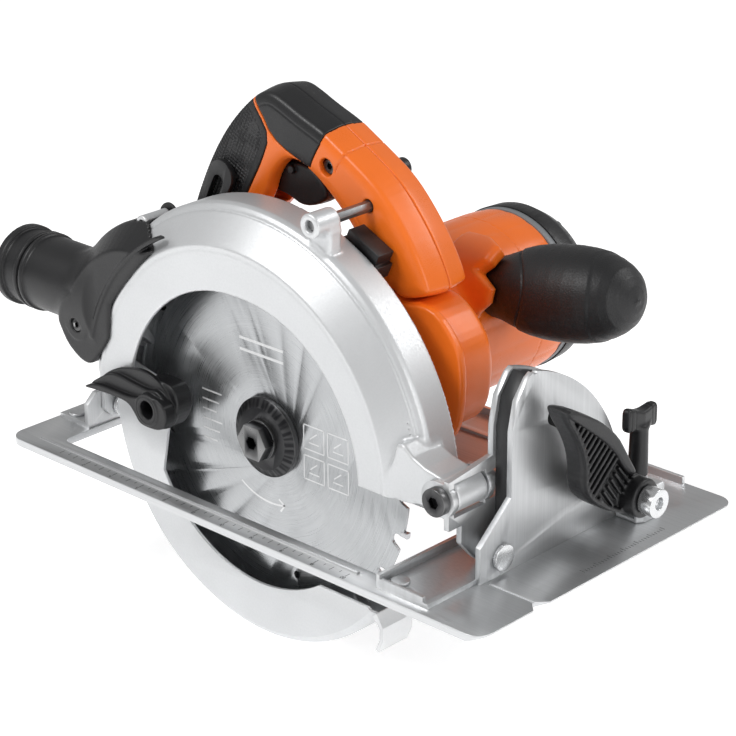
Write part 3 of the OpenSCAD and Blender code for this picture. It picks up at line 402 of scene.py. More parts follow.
def dress_node(name, edge=0.35):
    piece = NODES[name]
    wear(piece, SLOT_OF[name])
    weld = piece.modifiers.new("weld", "WELD")
    weld.merge_threshold = 0.00001
    flat = piece.modifiers.new("flat faces", "DECIMATE")
    flat.decimate_type = "DISSOLVE"
    flat.angle_limit = math.radians(0.6)
    bevel = piece.modifiers.new("round edges", "BEVEL")
    bevel.width = edge * MM
    bevel.segments = 2
    bevel.limit_method = "ANGLE"
    bevel.angle_limit = math.radians(30)
    bevel.harden_normals = True
    piece.data.polygons.foreach_set("use_smooth", [True] * len(piece.data.polygons))


for node_name in NODES:
    dress_node(node_name)

# ---- outlines in X and Z, in millimetres ------------------------------------------

class Outline:
    """Signed distance to a closed outline, tabulated on a fine grid for speed."""

    def __init__(self, points, passes=2, grid=0.5, margin=16.0):
        points = rounded(points, passes) if passes else np.array(points, float)
        self.low = points.min(0) - margin
        self.size = np.ceil((points.max(0) + margin - self.low) / grid).astype(int) + 1
        u, v = np.meshgrid(*(self.low[i] + grid * np.arange(self.size[i]) for i in (0, 1)), indexing="ij")
        self.table = outline_distance(u.ravel(), v.ravel(), points).reshape(self.size)
        self.grid = grid

    def __call__(self, u, v):
        a = np.clip((u - self.low[0]) / self.grid, 0, self.size[0] - 1.001)
        b = np.clip((v - self.low[1]) / self.grid, 0, self.size[1] - 1.001)
        i, j = a.astype(int), b.astype(int)
        s, t = a - i, b - j
        near = self.table[i, j] * (1 - s) + self.table[i + 1, j] * s
        far = self.table[i, j + 1] * (1 - s) + self.table[i + 1, j + 1] * s
        beyond = np.hypot(u - (self.low[0] + a * self.grid), v - (self.low[1] + b * self.grid))
        return near * (1 - t) + far * t + beyond


HANDLE = Outline([
    (-84, 106), (-84, 118), (-78, 133), (-70, 149), (-60, 165), (-49, 178), (-38, 188),
    (-31, 192.5), (-23, 194), (-14, 191), (-5, 187), (12, 181), (20, 176.5), (32, 170), (47, 161),
    (59, 149), (70, 135), (78, 121), (80, 113), (60, 106), (52, 112.1), (-30, 112.1), (-62, 104.1),
    (-70, 98)
])
OPENING = Outline([
    (-46, 116), (-41, 112), (30, 112), (38, 118), (32, 132), (16, 147), (2, 157), (-12, 161.5),
    (-22, 152), (-27, 136)
])
CAP = Outline([
    (-40, 192), (-29, 181), (-23, 171), (-10, 164), (2, 158.5), (6, 167), (11, 175), (14, 186),
    (14, 200), (-40, 200)
], 1)
GRIP = Outline([
    (-41, 191), (-31, 181), (-24, 170), (-30, 156), (-37, 144), (-47, 126), (-52, 108), (-56, 90),
    (-100, 90), (-100, 200), (-50, 200)
], 1)
PAD = Outline([(20, 163), (29, 162), (58, 140), (70, 119), (62, 113), (39, 129), (22, 148)], 2)
BUTTON, KEY, SPINE_SCREW, FOOT_SCREW = (30, 158), (41, 150), (14, 163), (-60, 112)
SKIN = 2.0


def across(p, middle, r, low, high):
    """Cylinder along Y round the point (x, z)."""
    return np.maximum(np.hypot(p[:, 0] - middle[0], p[:, 2] - middle[1]) - r, slab(p[:, 1], low, high))


def groove(value, half, depth):
    """Rounded furrow where the value is near zero."""
    return depth * np.clip(1 - (value / half) ** 2, 0, 1)


# ---- D handle ----------------------------------------------------------------------

def handle_solid(p):
    """Faceted bar of the D handle: a flat top facet, sloping shoulders and flat sides."""
    x, y, z = p.T
    opening = OPENING(x, z)
    flat = np.maximum(HANDLE(x, z), -opening)
    w = np.abs(y - HANDLE_Y)
    top = flat + 0.17 * (np.sqrt(w * w + 9) - 3)
    body = smooth_max(top, (flat + 2.2 * (w - 12.5)) / 2.417, 1.6)
    side = w - HANDLE_W / 2 + 0.9 * np.clip((3.2 - np.abs(opening)) / 0.8, 0, 1)
    return smooth_max(body, side, 1.4)


def handle_holes(p):
    x, y, z = p.T
    holes = np.minimum(across(p, KEY, 3.3, 20, 53), across(p, SPINE_SCREW, 4.4, 20, 31.8))
    holes = np.minimum(holes, across(p, FOOT_SCREW, 4.3, 20, 31.8))
    holes = np.minimum(holes, across(p, BUTTON, 5.5, 31, 70))
    holes = np.minimum(holes, across(p, (MOTOR_X, MOTOR_Z), MOTOR_R + 0.3, 0, 90))
    holes = np.minimum(holes, box_field(p, (-42, HANDLE_Y - 7.5, 131), (-5, HANDLE_Y + 7.5, 160), 1))
    inlet = np.maximum(np.hypot(y - HANDLE_Y, z - 116) - 4.5, slab(x, -100, -64))
    return np.minimum(holes, inlet)


def handle_hollow(p):
    flat = np.maximum(HANDLE(p[:, 0], p[:, 2]), -OPENING(p[:, 0], p[:, 2]))
    return np.maximum(flat + 9.5, np.abs(p[:, 1] - HANDLE_Y) - 12)


def shell_field(side):
    def field(p):
        x, y, z = p.T
        body = handle_solid(p)
        opening, rim = OPENING(x, z), HANDLE(x, z)
        lines = groove((x - 26) * 0.87 - (z - 173) * 0.5, 0.5, 0.6) * (rim > -13)
        lines = np.maximum(lines, groove(opening - 8.5, 0.45, 0.45) * (x > 30) * (z > 118))
        body = body + lines
        if side > 0:
            pad = plate_field(PAD(x, z), y, 50, 60, 1.2)
            body = smooth_min(body, pad, 1.2)
        skins = np.minimum(CAP(x, z), GRIP(x, z))
        shell = np.maximum(body, -np.maximum(skins - 0.15, -(body + SKIN + 0.2)))
        half = (HANDLE_Y - y if side > 0 else y - HANDLE_Y) + 0.06
        shell = smooth_max(shell, half, 0.7)
        return np.maximum(np.maximum(shell, -handle_holes(p)), -handle_hollow(p))
    return field


def cap_field(p):
    x, y, z = p.T
    body = handle_solid(p) + groove(y - HANDLE_Y, 0.5, 0.4)
    body = body + groove(HANDLE(x, z) + 7.2, 0.5, 0.3) * (np.abs(y - HANDLE_Y) > 12)
    skin = smooth_max(body, CAP(x, z) + 0.25, 0.9)
    return np.maximum(skin, -(handle_solid(p) + SKIN))


def knurl(p, pitch=1.9, depth=0.38):
    """Square pattern of furrows on the rear bar of the handle."""
    x, y, z = p.T
    along = x * 0.45 + z * 0.89
    over = np.where(np.abs(y - HANDLE_Y) < 12.6, y - HANDLE_Y, x * 0.89 - z * 0.45)
    lines = [np.abs(np.mod(v / pitch, 1) - 0.5) * 2 for v in (along, over)]
    cut = np.clip((np.maximum(*lines) - 0.62) / 0.3, 0, 1)
    area = np.clip((-GRIP(x, z) - 3.2) / 0.8, 0, 1) * np.clip((z - 117) / 2, 0, 1)
    area = area * np.clip((OPENING(x, z) - 3.0) / 0.8, 0, 1)
    return depth * cut * area


def grip_field(p):
    x, y, z = p.T
    body = handle_solid(p)
    carved = body + knurl(p) + groove(y - HANDLE_Y, 0.45, 0.35) * (np.abs(OPENING(x, z)) > 6)
    hollow = np.hypot((x + 60) * 0.45 + (z - 115) * 0.89, ((x + 60) * 0.89 - (z - 115) * 0.45) * 1.6)
    carved = carved + 0.9 * np.clip((9.5 - hollow) / 2.5, 0, 1) * (np.abs(y - HANDLE_Y) > 12)
    skin = smooth_max(carved, np.maximum(GRIP(x, z), -CAP(x, z)) + 0.25, 0.9)
    skin = np.maximum(skin, -(body + SKIN))
    return np.maximum(skin, -handle_holes(p))


def add(name, field, low, high, step, node, slot, body="saw"):
    """Sculpted piece that stands in for one CAD node."""
    piece = sculpt(name, field, low, high, step)
    wear(piece, slot)
    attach(piece, body)
    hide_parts(*([node] if isinstance(node, str) else node))
    return piece


def make_handle():
    add("shell_blade_side", shell_field(-1), (-88, 26, 95), (84, 43, 196), 0.7,
        "handle_shell_blade_side", "orange_plastic")
    add("shell_motor_side", shell_field(1), (-88, 41, 95), (84, 61.5, 196), 0.7,
        "handle_shell_motor_side", "orange_plastic")
    add("top_cap", cap_field, (-44, 26, 155), (18, 58.5, 197), 0.5, "handle_top_cap", "black_plastic")
    add("rear_grip", grip_field, (-88, 26, 93), (-20, 58.5, 195), 0.42, "handle_grip", "soft_grip")


TRIGGER = Outline([
    (-34, 153), (-14, 159), (-2, 156.5), (6, 149.5), (7, 142), (-9, 135), (-21, 139.5), (-30, 140)
], 2)


def trigger_field(p):
    x, y, z = p.T
    flat = TRIGGER(x, z)
    body = plate_field(flat + 0.10 * np.abs(y - HANDLE_Y), y, HANDLE_Y - 7, HANDLE_Y + 7, 1.6)
    body = body + groove(y - HANDLE_Y, 0.8, 0.25)
    peg = across(p, (-16, 154), 2.03, HANDLE_Y - 9.2, HANDLE_Y + 9.2)
    return np.minimum(body, peg)


def button_field(p):
    rod = rod_field(p, (BUTTON[0], 44, BUTTON[1]), (BUTTON[0], 64.5, BUTTON[1]), 5.0)
    dish = np.sqrt((p[:, 0] - BUTTON[0]) ** 2 + (p[:, 1] - 76) ** 2 + (p[:, 2] - BUTTON[1]) ** 2) - 12.2
    return np.minimum(smooth_max(rod, -dish, 0.8), across(p, BUTTON, 7, 43, 44.6))


def make_controls():
    add("trigger", trigger_field, (-37, 31, 132), (10, 53, 161), 0.5, "switch_trigger", "black_plastic",
        "trigger")
    add("lock_off", button_field, (22, 42, 150), (38, 66, 166), 0.4, "lock_off_button", "black_plastic",
        "lock_off")


# ---- motor housing and knob ----------------------------------------------------------

FIN = Outline([
    (30, 30), (62, 34), (90, 44), (97.5, 52), (100.5, 70), (100, 85), (97.2, 95.7), (81.7, 111),
    (60, 106), (-12, 104), (-34, 60)
], 2)
NECK = Outline([
    (30, 36), (60, 38), (84, 46), (93, 55), (96, 70), (95.5, 84), (92, 94), (78, 108), (60, 110),
    (40, 104), (0, 80)
], 2)
SEAT = Outline([
    (-40, 62), (-60, 88), (-62, 103.2), (-30, 111.6), (52, 111.6), (60, 105), (52, 70)
], 1)
GEAR_ROOM = Outline([
    (-30, 40), (-28.8, 22), (-20, 9), (0, 1.2), (20, 9), (28.8, 22), (44, 46), (48.2, 63),
    (43, 83), (30, 96), (10, 101.2), (-10, 96), (-23, 83), (-28.2, 63)
], 2)
KNOB_TILT = math.radians(KNOB_RISE)


def knob_frame(p):
    """Along the knob, radius from its axis and angle (0 towards +Y, 90 upwards)."""
    x, y, z = (p - np.array(KNOB_ROOT)).T
    along = x * math.cos(KNOB_TILT) + z * math.sin(KNOB_TILT)
    up = -x * math.sin(KNOB_TILT) + z * math.cos(KNOB_TILT)
    return along, np.hypot(y, up), np.degrees(np.arctan2(up, y))


def barrel_radius(p):
    return np.hypot(p[:, 0] - MOTOR_X, p[:, 2] - MOTOR_Z)


def collar_field(p):
    """Two moulded lobes that hold the foot of the knob, with a notch between them."""
    along, r, angle = knob_frame(p)
    turn = np.mod(angle, 360)
    reach = np.interp(turn, (80, 96, 112, 132, 143, 150, 165, 185, 205, 225),
                      (-20, 6, 17, 15, 9, 12, 20, 17, 6, -20))
    thick = np.interp(turn, (90, 120, 150, 200), (27, 26.5, 25.5, 22))
    inner = np.interp(along, (0, 6.5, 17, 30), (16, 16.4, 19.3, 22))
    wall = smooth_max(r - thick, (along - reach) * 0.8, 4)
    return smooth_max(smooth_max(wall, inner - r, 2.0), -14 - along, 1)


def housing_field(p):
    x, y, z = p.T
    angle = np.arctan2(z - MOTOR_Z, x - MOTOR_X)
    facets = 0.35 * (1 - np.abs(np.cos(angle * 9))) ** 2
    taper = 0.8 * np.clip((y - 150) / 14, 0, 1) ** 2
    barrel = smooth_max(barrel_radius(p) - MOTOR_R + facets * (y > 60) + taper, slab(y, 26, 164), 1.6)
    neck = plate_field(NECK(x, z), y, 27, 56, 5)
    body = smooth_min(barrel, neck, 12)
    body = smooth_min(body, plate_field(SEAT(x, z), y, 29, 55, 2), 6)
    body = smooth_min(body, rod_field(p, knob_point(-16), knob_point(0.0), 16), 5)
    body = smooth_min(body, collar_field(p), 7)
    fin = plate_field(FIN(x, z), y, 26, 30.5, 1.0)
    body = smooth_min(body, fin, 2.5)
    body = body + groove(y - 96, 0.5, 0.5) * (x < 20) + groove(y - 142, 0.45, 0.45)
    holes = np.minimum(across(p, (MOTOR_X, MOTOR_Z), MOTOR_R - 3, 46, 180),
                       across(p, (MOTOR_X, MOTOR_Z), 38.4, 10, 40.4))
    holes = np.minimum(holes, across(p, (MOTOR_X, MOTOR_Z), 32, 39, 47))
    holes = np.minimum(holes, np.maximum(GEAR_ROOM(x, z), y - 40.2))
    foot = np.maximum(np.maximum(HANDLE(x, z), -OPENING(x, z) - 30) - 0.25, y - 57.3)
    holes = np.minimum(holes, foot)
    for step in range(7):
        a = -math.radians(62 + step * 12)
        u = (x - MOTOR_X) * math.cos(a) + (z - MOTOR_Z) * math.sin(a)
        v = -(x - MOTOR_X) * math.sin(a) + (z - MOTOR_Z) * math.cos(a)
        slot = np.maximum(np.maximum(30 - u, np.abs(v) - 1.6), slab(y, 52, 62))
        holes = np.minimum(holes, slot)
    return smooth_max(body, -holes, 0.6)


def knob_point(along):
    return (KNOB_ROOT[0] + along * math.cos(KNOB_TILT), KNOB_ROOT[1],
            KNOB_ROOT[2] + along * math.sin(KNOB_TILT))


KNOB_ALONG = (0, 6, 12, 18, 24, 30, 38, 46, 54, 62, 69, 75, 80, 84, 87.5, 89.5, 90.5)
KNOB_RADIUS = (15, 15.6, 16.9, 18.8, 20.6, 22, 23.1, 23.5, 23.5, 22.9, 21.8, 20.2, 17.9, 15.2, 11, 6.5, 0)


def knob_field(p):
    """Soft knob: a neck, a full belly, a rounded nose and a wavy raised panel edge."""
    along, r, angle = knob_frame(p)
    a = np.radians(angle)
    radius = np.interp(along, KNOB_ALONG, KNOB_RADIUS)
    radius = radius * (1 + 0.012 * np.cos(2 * a))
    edge = 30 + 9 * np.cos(2 * a + 0.6)
    panel = np.clip((along - edge) / 1.2, 0, 1)
    far = 74 + 3 * np.cos(2 * a + 0.6)
    panel = panel * np.clip((far - along) / 1.2, 0, 1)
    body = (r - radius - 0.1) * 0.93 - 0.45 * panel + groove(along - edge + 0.6, 0.8, 0.5)
    body = smooth_max(body, 0.3 - along, 1)
    return np.maximum(body, MOTOR_R + 0.4 - barrel_radius(p))


def make_motor():
    add("housing", housing_field, (-66, 24, 14), (103, 166, 120), 0.9, "motor_housing", "orange_plastic")
    add("knob", knob_field, (40, 86, 60), (140, 138, 132), 0.6, "front_knob", "soft_grip")


# ---- guards and dust port ---------------------------------------------------------------

GUARD_SECTION = Outline([
    (-5, 12), (114, 12), (114, -3.4), (98.2, -15.8), (76, -15.8), (76, -18), (98.8, -18),
    (116.0, -4.6), (117, -2.2), (117, 14), (-5, 14)
], 0, 0.4, 12)
GUARD_SOLID = Outline([
    (-5, 14.1), (-5, -18.1), (98.9, -18.1), (116.2, -4.6), (117.15, -2.3), (117.15, 14.1)
], 0, 0.5, 30)
GUARD_ARM = Outline([
    (88, 33), (106, 33), (112, 35), (129, 36.2), (136.9, 44), (129, 51.8), (112, 55), (100, 64),
    (96, 50)
], 1)
KEY_LUG = Outline([(35, 150), (47, 150), (46, 132), (32, 140)], 1)
PORT_SCREWS = ((-119, 62), (-84, 120))
PORT_Z, PORT_END, PORT_R, PORT_BORE = 75.0, -181.0, 19.6, 17.5


def guard_radius(p):
    return np.hypot(p[:, 0] - GUARD_X, p[:, 2] - ARBOR_Z)


def upper_guard_field(p):
    x, y, z = p.T
    r = guard_radius(p)
    shell = GUARD_SECTION(r, y) + 0.12
    shell = shell + groove(r - 113.2, 0.55, 0.5) * (y < 0) + groove(r - 96.6, 0.5, 0.35) * (y < -10)
    shell = smooth_max(shell, 33 - z, 0.8)
    arm = plate_field(np.minimum(GUARD_ARM(x, z), np.hypot(x - PIVOT_X, z - PIVOT_Z) - 8), y, -16.6, 3.6, 1.4)
    body = smooth_min(shell, arm, 2.5)
    boss = rod_field(p, (KEY[0], -12, KEY[1]), (KEY[0], 3, KEY[1]), 6)
    lug = plate_field(KEY_LUG(x, z), y, -4, 4, 1.5)
    body = smooth_min(body, smooth_min(boss, lug, 3), 3)
    for place in PORT_SCREWS:
        body = np.minimum(body, across(p, place, 4.2, -3.6, 13))
    body = np.minimum(body, across(p, (66, 94), 4, 3, 13))
    holes = np.minimum(across(p, (0, ARBOR_Z), 28.4, 5, 30), across(p, (PIVOT_X, PIVOT_Z), 4.05, -30, 12))
    holes = np.minimum(holes, across(p, KEY, 2.95, -14, 24))
    cavity = np.minimum(across(p, (0, ARBOR_Z), 104.7, -8, 11.8), across(p, (0, ARBOR_Z), 76, -30, -8))
    keep = across(p, (66, 94), 4, 3, 13)
    holes = np.minimum(holes, np.maximum(cavity, -keep))
    a = math.radians(152)
    out = (x - GUARD_X) * math.cos(a) + (z - ARBOR_Z) * math.sin(a)
    over = -(x - GUARD_X) * math.sin(a) + (z - ARBOR_Z) * math.cos(a)
    duct = np.maximum(np.maximum(slab(out, 100, 130), np.abs(over) - 17), slab(y, -3, 11))
    holes = np.minimum(holes, duct)
    for place in PORT_SCREWS:
        holes = np.minimum(holes, across(p, place, 1.8, -10, 20))
    return smooth_max(body, -holes, 0.5)


PORT_BODY = Outline([
    (-45, 122), (-50, 124.5), (-72, 124), (-92, 121), (-110, 111), (-123, 98), (-129, 84),
    (-133, 68), (-132, 52), (-116, 41), (-106, 44), (-88, 70), (-50, 112)
], 2, 0.5, 26)


def port_field(p):
    x, y, z = p.T
    flat = PORT_BODY(x, z)
    body = smooth_max(flat, slab(y, -19.6, 13.8), 1.6)
    upper = np.clip((z - 60) / 20, 0, 1)
    body = smooth_max(body, (flat + upper * 0.72 * (-4 - y)) / 1.2, 1.2)
    r = np.hypot(y + 1, z - PORT_Z)
    tube = smooth_max(r - PORT_R, slab(x, PORT_END, -112), 0.8)
    body = smooth_min(body, tube, 9)
    for start, end, rise in ((0, 4.6, 1.9), (14.2, 16.6, 1.3), (18.4, 21, 1.3)):
        ring = plate_field(r - PORT_R - rise, x, PORT_END + start, PORT_END + end, 0.6)
        body = smooth_min(body, ring, 0.8)
    body = body + groove(x - PORT_END - 17.5, 0.9, 0.7)
    ridge = np.abs(guard_radius(p) - 105.5) - 1.1
    lip = np.maximum(np.maximum(ridge, slab(y, -20.2, -16)), np.maximum(flat, 58 - z))
    body = smooth_min(body, lip, 0.6)
    tab = np.hypot(x - PORT_SCREWS[0][0], z - PORT_SCREWS[0][1]) - 8.2
    body = smooth_min(body, plate_field(tab, y, -19.9, -14, 0.8), 1.2)
    ear = across(p, PORT_SCREWS[1], 6.5, 14.2, 16)
    body = np.minimum(body, ear)
    socket = np.maximum(r - PORT_BORE, slab(x, -200, -127))
    inner = np.maximum(np.hypot(y + 1, z - 79) - 11, slab(x, -128, -108))
    holes = np.minimum(socket, inner)
    holes = np.minimum(holes, GUARD_SOLID(guard_radius(p), y) - 0.05)
    for place in PORT_SCREWS:
        holes = np.minimum(holes, across(p, place, 4.4, -3.8, 13.2))
    holes = np.minimum(holes, across(p, PORT_SCREWS[0], 1.9, -30, 0))
    holes = np.minimum(holes, across(p, PORT_SCREWS[0], 3.8, -30, -18))
    holes = np.minimum(holes, across(p, PORT_SCREWS[1], 1.9, 10, 30))
    return smooth_max(body, -holes, 0.5)


WING_FRONT = Outline([
    (-107, 34.5), (-96, 39.2), (-83, 39.2), (-69, 38.9), (-60, 42.3), (-52, 43.8), (-46.7, 41.8),
    (-43.3, 38.4), (-43.7, 30.2), (-49.4, 26.8), (-57.4, 26.2), (-63.5, 26.8), (-66.5, 31),
    (-71.5, 35.8), (-82.1, 36.2), (-96, 35.6)
], 2)
WING_MIDDLE = Outline([
    (-105, 35.5), (-93.9, 42.9), (-87.4, 46.1), (-81.1, 46.5), (-70, 45.2), (-60.3, 44.5),
    (-54.6, 46.1), (-49.9, 44.3), (-44.2, 38.5), (-43.7, 30.2), (-49.4, 26.2), (-57.4, 25.6),
    (-64, 27), (-70, 34), (-82, 35.5), (-96, 34.8)
], 2)
WING_BACK = Outline([
    (-101, 36.5), (-96.2, 42.3), (-85.6, 48.8), (-70.4, 52.4), (-62.4, 52.2), (-55.3, 49.8),
    (-49.5, 45.3), (-45.4, 38.9), (-44, 31), (-50, 25), (-60, 25), (-68, 30), (-84, 34), (-96, 34)
], 2)
LEVER_FOOT = Outline([
    (-69.4, 48.9), (-49.8, 49.7), (-44.5, 46.8), (-42, 38.6), (-46.7, 28.3), (-56.2, 21.9),
    (-66, 26)
], 2)
LEVER_HUB = (-57.0, 36.0)


def guard_lever_field(p):
    x, y, z = p.T
    hub = np.hypot(x - LEVER_HUB[0], z - LEVER_HUB[1])
    body = plate_field(WING_FRONT(x, z), y, -29, -22, 0.8)
    body = np.minimum(body, plate_field(WING_MIDDLE(x, z), y, -26, -21, 0.7))
    body = np.minimum(body, plate_field(WING_BACK(x, z), y, -23, -20.1, 0.6))
    body = smooth_min(body, plate_field(LEVER_FOOT(x, z), y, -21.5, -11.15, 1.0), 1.0)
    body = smooth_min(body, plate_field(hub - 8.2, y, -29.6, -12, 0.6), 0.8)
    body = body + groove(hub - 7.0, 0.35, 0.4) * (y < -28)
    holes = np.minimum(across(p, LEVER_HUB, 4.7, -40, -17), across(p, LEVER_HUB, 2.25, -40, 0))
    return smooth_max(body, -holes, 0.7)


def make_guards():
    add("guard_shell", upper_guard_field, (-125, -20, 31), (139, 16, 158), 0.85, "upper_guard", "cast_metal")
    add("chip_port", port_field, (-184, -24, 38), (-42, 21, 128), 0.8, "dust_port", "black_plastic")
    add("swing_lever", guard_lever_field, (-110, -31, 19), (-40, -10, 55), 0.45, "guard_lever",
        "black_plastic", "swing_guard")


# ---- bevel clamp ---------------------------------------------------------------------------

CLAMP_Y, CLAMP_Z = 69.257, 28.297
LEVER_BLADE = Outline([
    (19.4, 83.6), (23.3, 85.2), (39.6, 76), (47.1, 70.5), (55.7, 62.1), (59.7, 55.8), (63.5, 49.1),
    (69, 40), (77.5, 34), (79, 28), (76, 21), (69.3, 18.9), (62.6, 20.1), (50, 26.5), (36, 36.8),
    (32.8, 45.2), (34.2, 52), (31.2, 65)
], 2)
LEVER_SPINE = Outline([
    (19.4, 83.6), (23.3, 85.2), (39.6, 76), (47.1, 70.5), (55.7, 62.1), (59.7, 55.8), (63.5, 49.1),
    (69, 40), (64, 40), (58, 47.5), (53.5, 55), (45, 63.5), (33, 73)
], 1)


def bevel_lever_field(p):
    x, y, z = p.T
    flat = LEVER_BLADE(y, z)
    bend = 2.5 * np.clip((z - 40) / 45, 0, 1)
    height = x + bend
    body = plate_field(flat, height, 157.6, 167, 1.2)
    body = smooth_min(body, plate_field(LEVER_SPINE(y, z), height, 160, 171.6, 1.6), 1.5)
    rim = np.maximum(np.abs(flat + 1.6) - 1.0, slab(height, 160, 169.4))
    body = smooth_min(body, rim, 0.8)
    length = (y - CLAMP_Y) * -0.6157 + (z - CLAMP_Z) * 0.788
    cross = np.abs(np.mod(length / 3.5, 1) - 0.5) * 3.5 - 0.75
    ribs = np.maximum(np.maximum(cross, slab(length, 24, 62)),
                      np.maximum(flat + 1.4, slab(height, 160, 169.8)))
    body = smooth_min(body, ribs, 0.5)
    side = (y - CLAMP_Y) * 0.788 + (z - CLAMP_Z) * 0.6157
    lines = np.abs(np.mod(side / 3.4, 1) - 0.5) * 3.4 - 0.65
    lengthwise = np.maximum(np.maximum(lines, slab(length, 9, 21)),
                            np.maximum(flat + 1.4, slab(height, 160, 169.4)))
    body = smooth_min(body, lengthwise, 0.5)
    r = np.hypot(y - CLAMP_Y, z - CLAMP_Z)
    body = smooth_min(body, plate_field(r - 9.5, x, 148, 176, 1.0), 1.5)
    return smooth_max(body, 4.05 - r, 0.4)


WING_X, WING_Y = 151.6, 95.0


def wing_screw_field(p):
    x, y, z = p.T
    stem = rod_field(p, (WING_X, WING_Y, 24.4), (WING_X, WING_Y, 50), 4.9, 4.4)
    thread = rod_field(p, (WING_X, WING_Y, 11.2), (WING_X, WING_Y, 26), 3.0)
    along = (y - WING_Y)
    centre = 54.0 - 0.10 * along
    half = 5.0 - 1.1 * np.cos(np.clip(along / 11.0, -1, 1) * math.pi)
    wing = smooth_max(np.abs(z - centre) - half, np.abs(along) - 11.5, 3)
    wing = smooth_max(wing, np.abs(x - WING_X) - 3.4 + 0.10 * np.abs(along), 1.8)
    wing = wing + groove(np.mod(along + 1.5, 3) - 1.5, 0.5, 0.3) * (np.abs(along) > 6)
    body = smooth_min(smooth_min(stem, wing, 3), thread, 0.6)
    return body


CLAMP_BLOCK = Outline([(146.6, 4.1), (161.4, 4.1), (161.4, 15.5), (158.5, 19), (146.6, 19)], 0)


def clamp_block_field(p):
    x, y, z = p.T
    body = plate_field(CLAMP_BLOCK(x, z), y, 85.2, 106.8, 0.8)
    body = smooth_max(body, (x - 161.4) * 0.8 + np.abs(y - 96) * 0.5 - 3.4, 0.6)
    boss = rod_field(p, (WING_X, WING_Y, 17), (WING_X, WING_Y, 23.5), 5.0)
    body = smooth_min(body, boss, 1.5)
    body = body + groove(z - 12.6, 0.6, 0.5) * (x > 158)
    channel = np.maximum(slab(x, 147.6, 157.6), slab(z, 6, 11))
    holes = np.minimum(channel, np.maximum(np.hypot(x - WING_X, y - WING_Y) - 3.05, 9 - z))
    return smooth_max(body, -holes, 0.4)


def make_clamp():
    add("bevel_paddle", bevel_lever_field, (146, 15, 14), (180, 82, 88), 0.5, "bevel_lever", "black_plastic",
        "bevel_clamp")
    add("wing", wing_screw_field, (145, 81, 10), (158, 109, 64), 0.45, "guide_wing_screw", "black_plastic",
        "guide_screw")
    add("clamp_casting", clamp_block_field, (145.5, 84, 3), (163.5, 108, 26), 0.4, "guide_clamp",
        "cast_metal", "base")


# ---- printed and engraved marks ---------------------------------------------------------------

def boxes_piece(name, boxes, slot, body):
    """Thin bars given by centre, half sizes and turn about Z (mm, degrees)."""
    verts, faces = [], []
    for (cx, cy, cz), (hx, hy, hz), turn in boxes:
        c, s = math.cos(math.radians(turn)), math.sin(math.radians(turn))
        first = len(verts)
        for dz in (-hz, hz):
            for dx, dy in ((-hx, -hy), (hx, -hy), (hx, hy), (-hx, hy)):
                verts.append(((cx + dx * c - dy * s) * MM, (cy + dx * s + dy * c) * MM, (cz + dz) * MM))
        for quad in ((3, 2, 1, 0), (4, 5, 6, 7), (0, 1, 5, 4), (1, 2, 6, 5), (2, 3, 7, 6), (3, 0, 4, 7)):
            faces.append([first + k for k in quad])
    piece = new_piece(name, verts, faces, False)
    wear(piece, slot)
    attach(piece, body)
    return piece


SEGMENTS = {"a": (0, 1, 1), "b": (0.5, 0.5, 0), "c": (0.5, -0.5, 0), "d": (0, -1, 1), "e": (-0.5, -0.5, 0),
            "f": (-0.5, 0.5, 0), "g": (0, 0, 1)}
DIGITS = ["abcdef", "bc", "abged", "abgcd", "fgbc", "afgcd", "afgedc", "abc", "abcdefg", "abcdfg"]


def digit_boxes(number, x, y, z, size, turn=0.0):
    """Strokes of a printed number, drawn with short bars. Its baseline runs along the turned X."""
    boxes, text = [], str(number)
    c, s = math.cos(math.radians(turn)), math.sin(math.radians(turn))
    for place, char in enumerate(text):
        shift = (place - (len(text) - 1) / 2) * size * 1.5
        for part in DIGITS[int(char)]:
            u, v, flat = SEGMENTS[part]
            u, v = u * size + shift, v * size
            half = (size * 0.5, 0.12, 0.03) if flat else (0.12, size * 0.5, 0.03)
            boxes.append(((x + u * c - v * s, y + u * s + v * c, z), half, turn))
    return boxes


def make_scales():
    top = 4.02
    marks = []
    for mm in range(0, 201, 5):
        long = 3.2 if mm % 10 == 0 else 1.8
        marks.append(((-105 + mm, -43.4 - long / 2, top), (0.14, long / 2, 0.03), 0))
        if mm % 20 == 0 and mm > 0:
            marks += digit_boxes(mm // 10, -105 + mm, -48.3 + 0.2, top, 0.85)
    for mm in range(0, 61, 2):
        long = 3.0 if mm % 10 == 0 else 1.7
        marks.append(((172.5 - long / 2, 30 + mm, top), (long / 2, 0.13, 0.03), 0))
    boxes_piece("sole_scale", marks, "black_paint", "base")


MARKS_Y = -0.86                        # blade face that carries the marks
MARK_DEEP = 0.05
ARROW_R, ARROW_START, ARROW_END = 36.0, 236, 286


def mark_stroke(a, b, half):
    """Four corners of a straight stroke on the blade's face, in X and Z about the arbor."""
    along = Vector((b[0] - a[0], b[1] - a[1])).normalized()
    side = Vector((-along.y, along.x)) * half
    return [(a[0] - side.x, a[1] - side.y), (b[0] - side.x, b[1] - side.y),
            (b[0] + side.x, b[1] + side.y), (a[0] + side.x, a[1] + side.y)]


def frame_strokes(x, z, wide, high, half):
    corners = [(x, z), (x + wide, z), (x + wide, z + high), (x, z + high)]
    strokes = [mark_stroke(corners[k], corners[(k + 1) % 4], half) for k in range(4)]
    strokes.append(mark_stroke((x + 0.25 * wide, z + 0.3 * high), (x + 0.75 * wide, z + 0.3 * high), half))
    strokes.append(mark_stroke((x + 0.3 * wide, z + 0.45 * high), (x + 0.65 * wide, z + 0.75 * high), half))
    return strokes


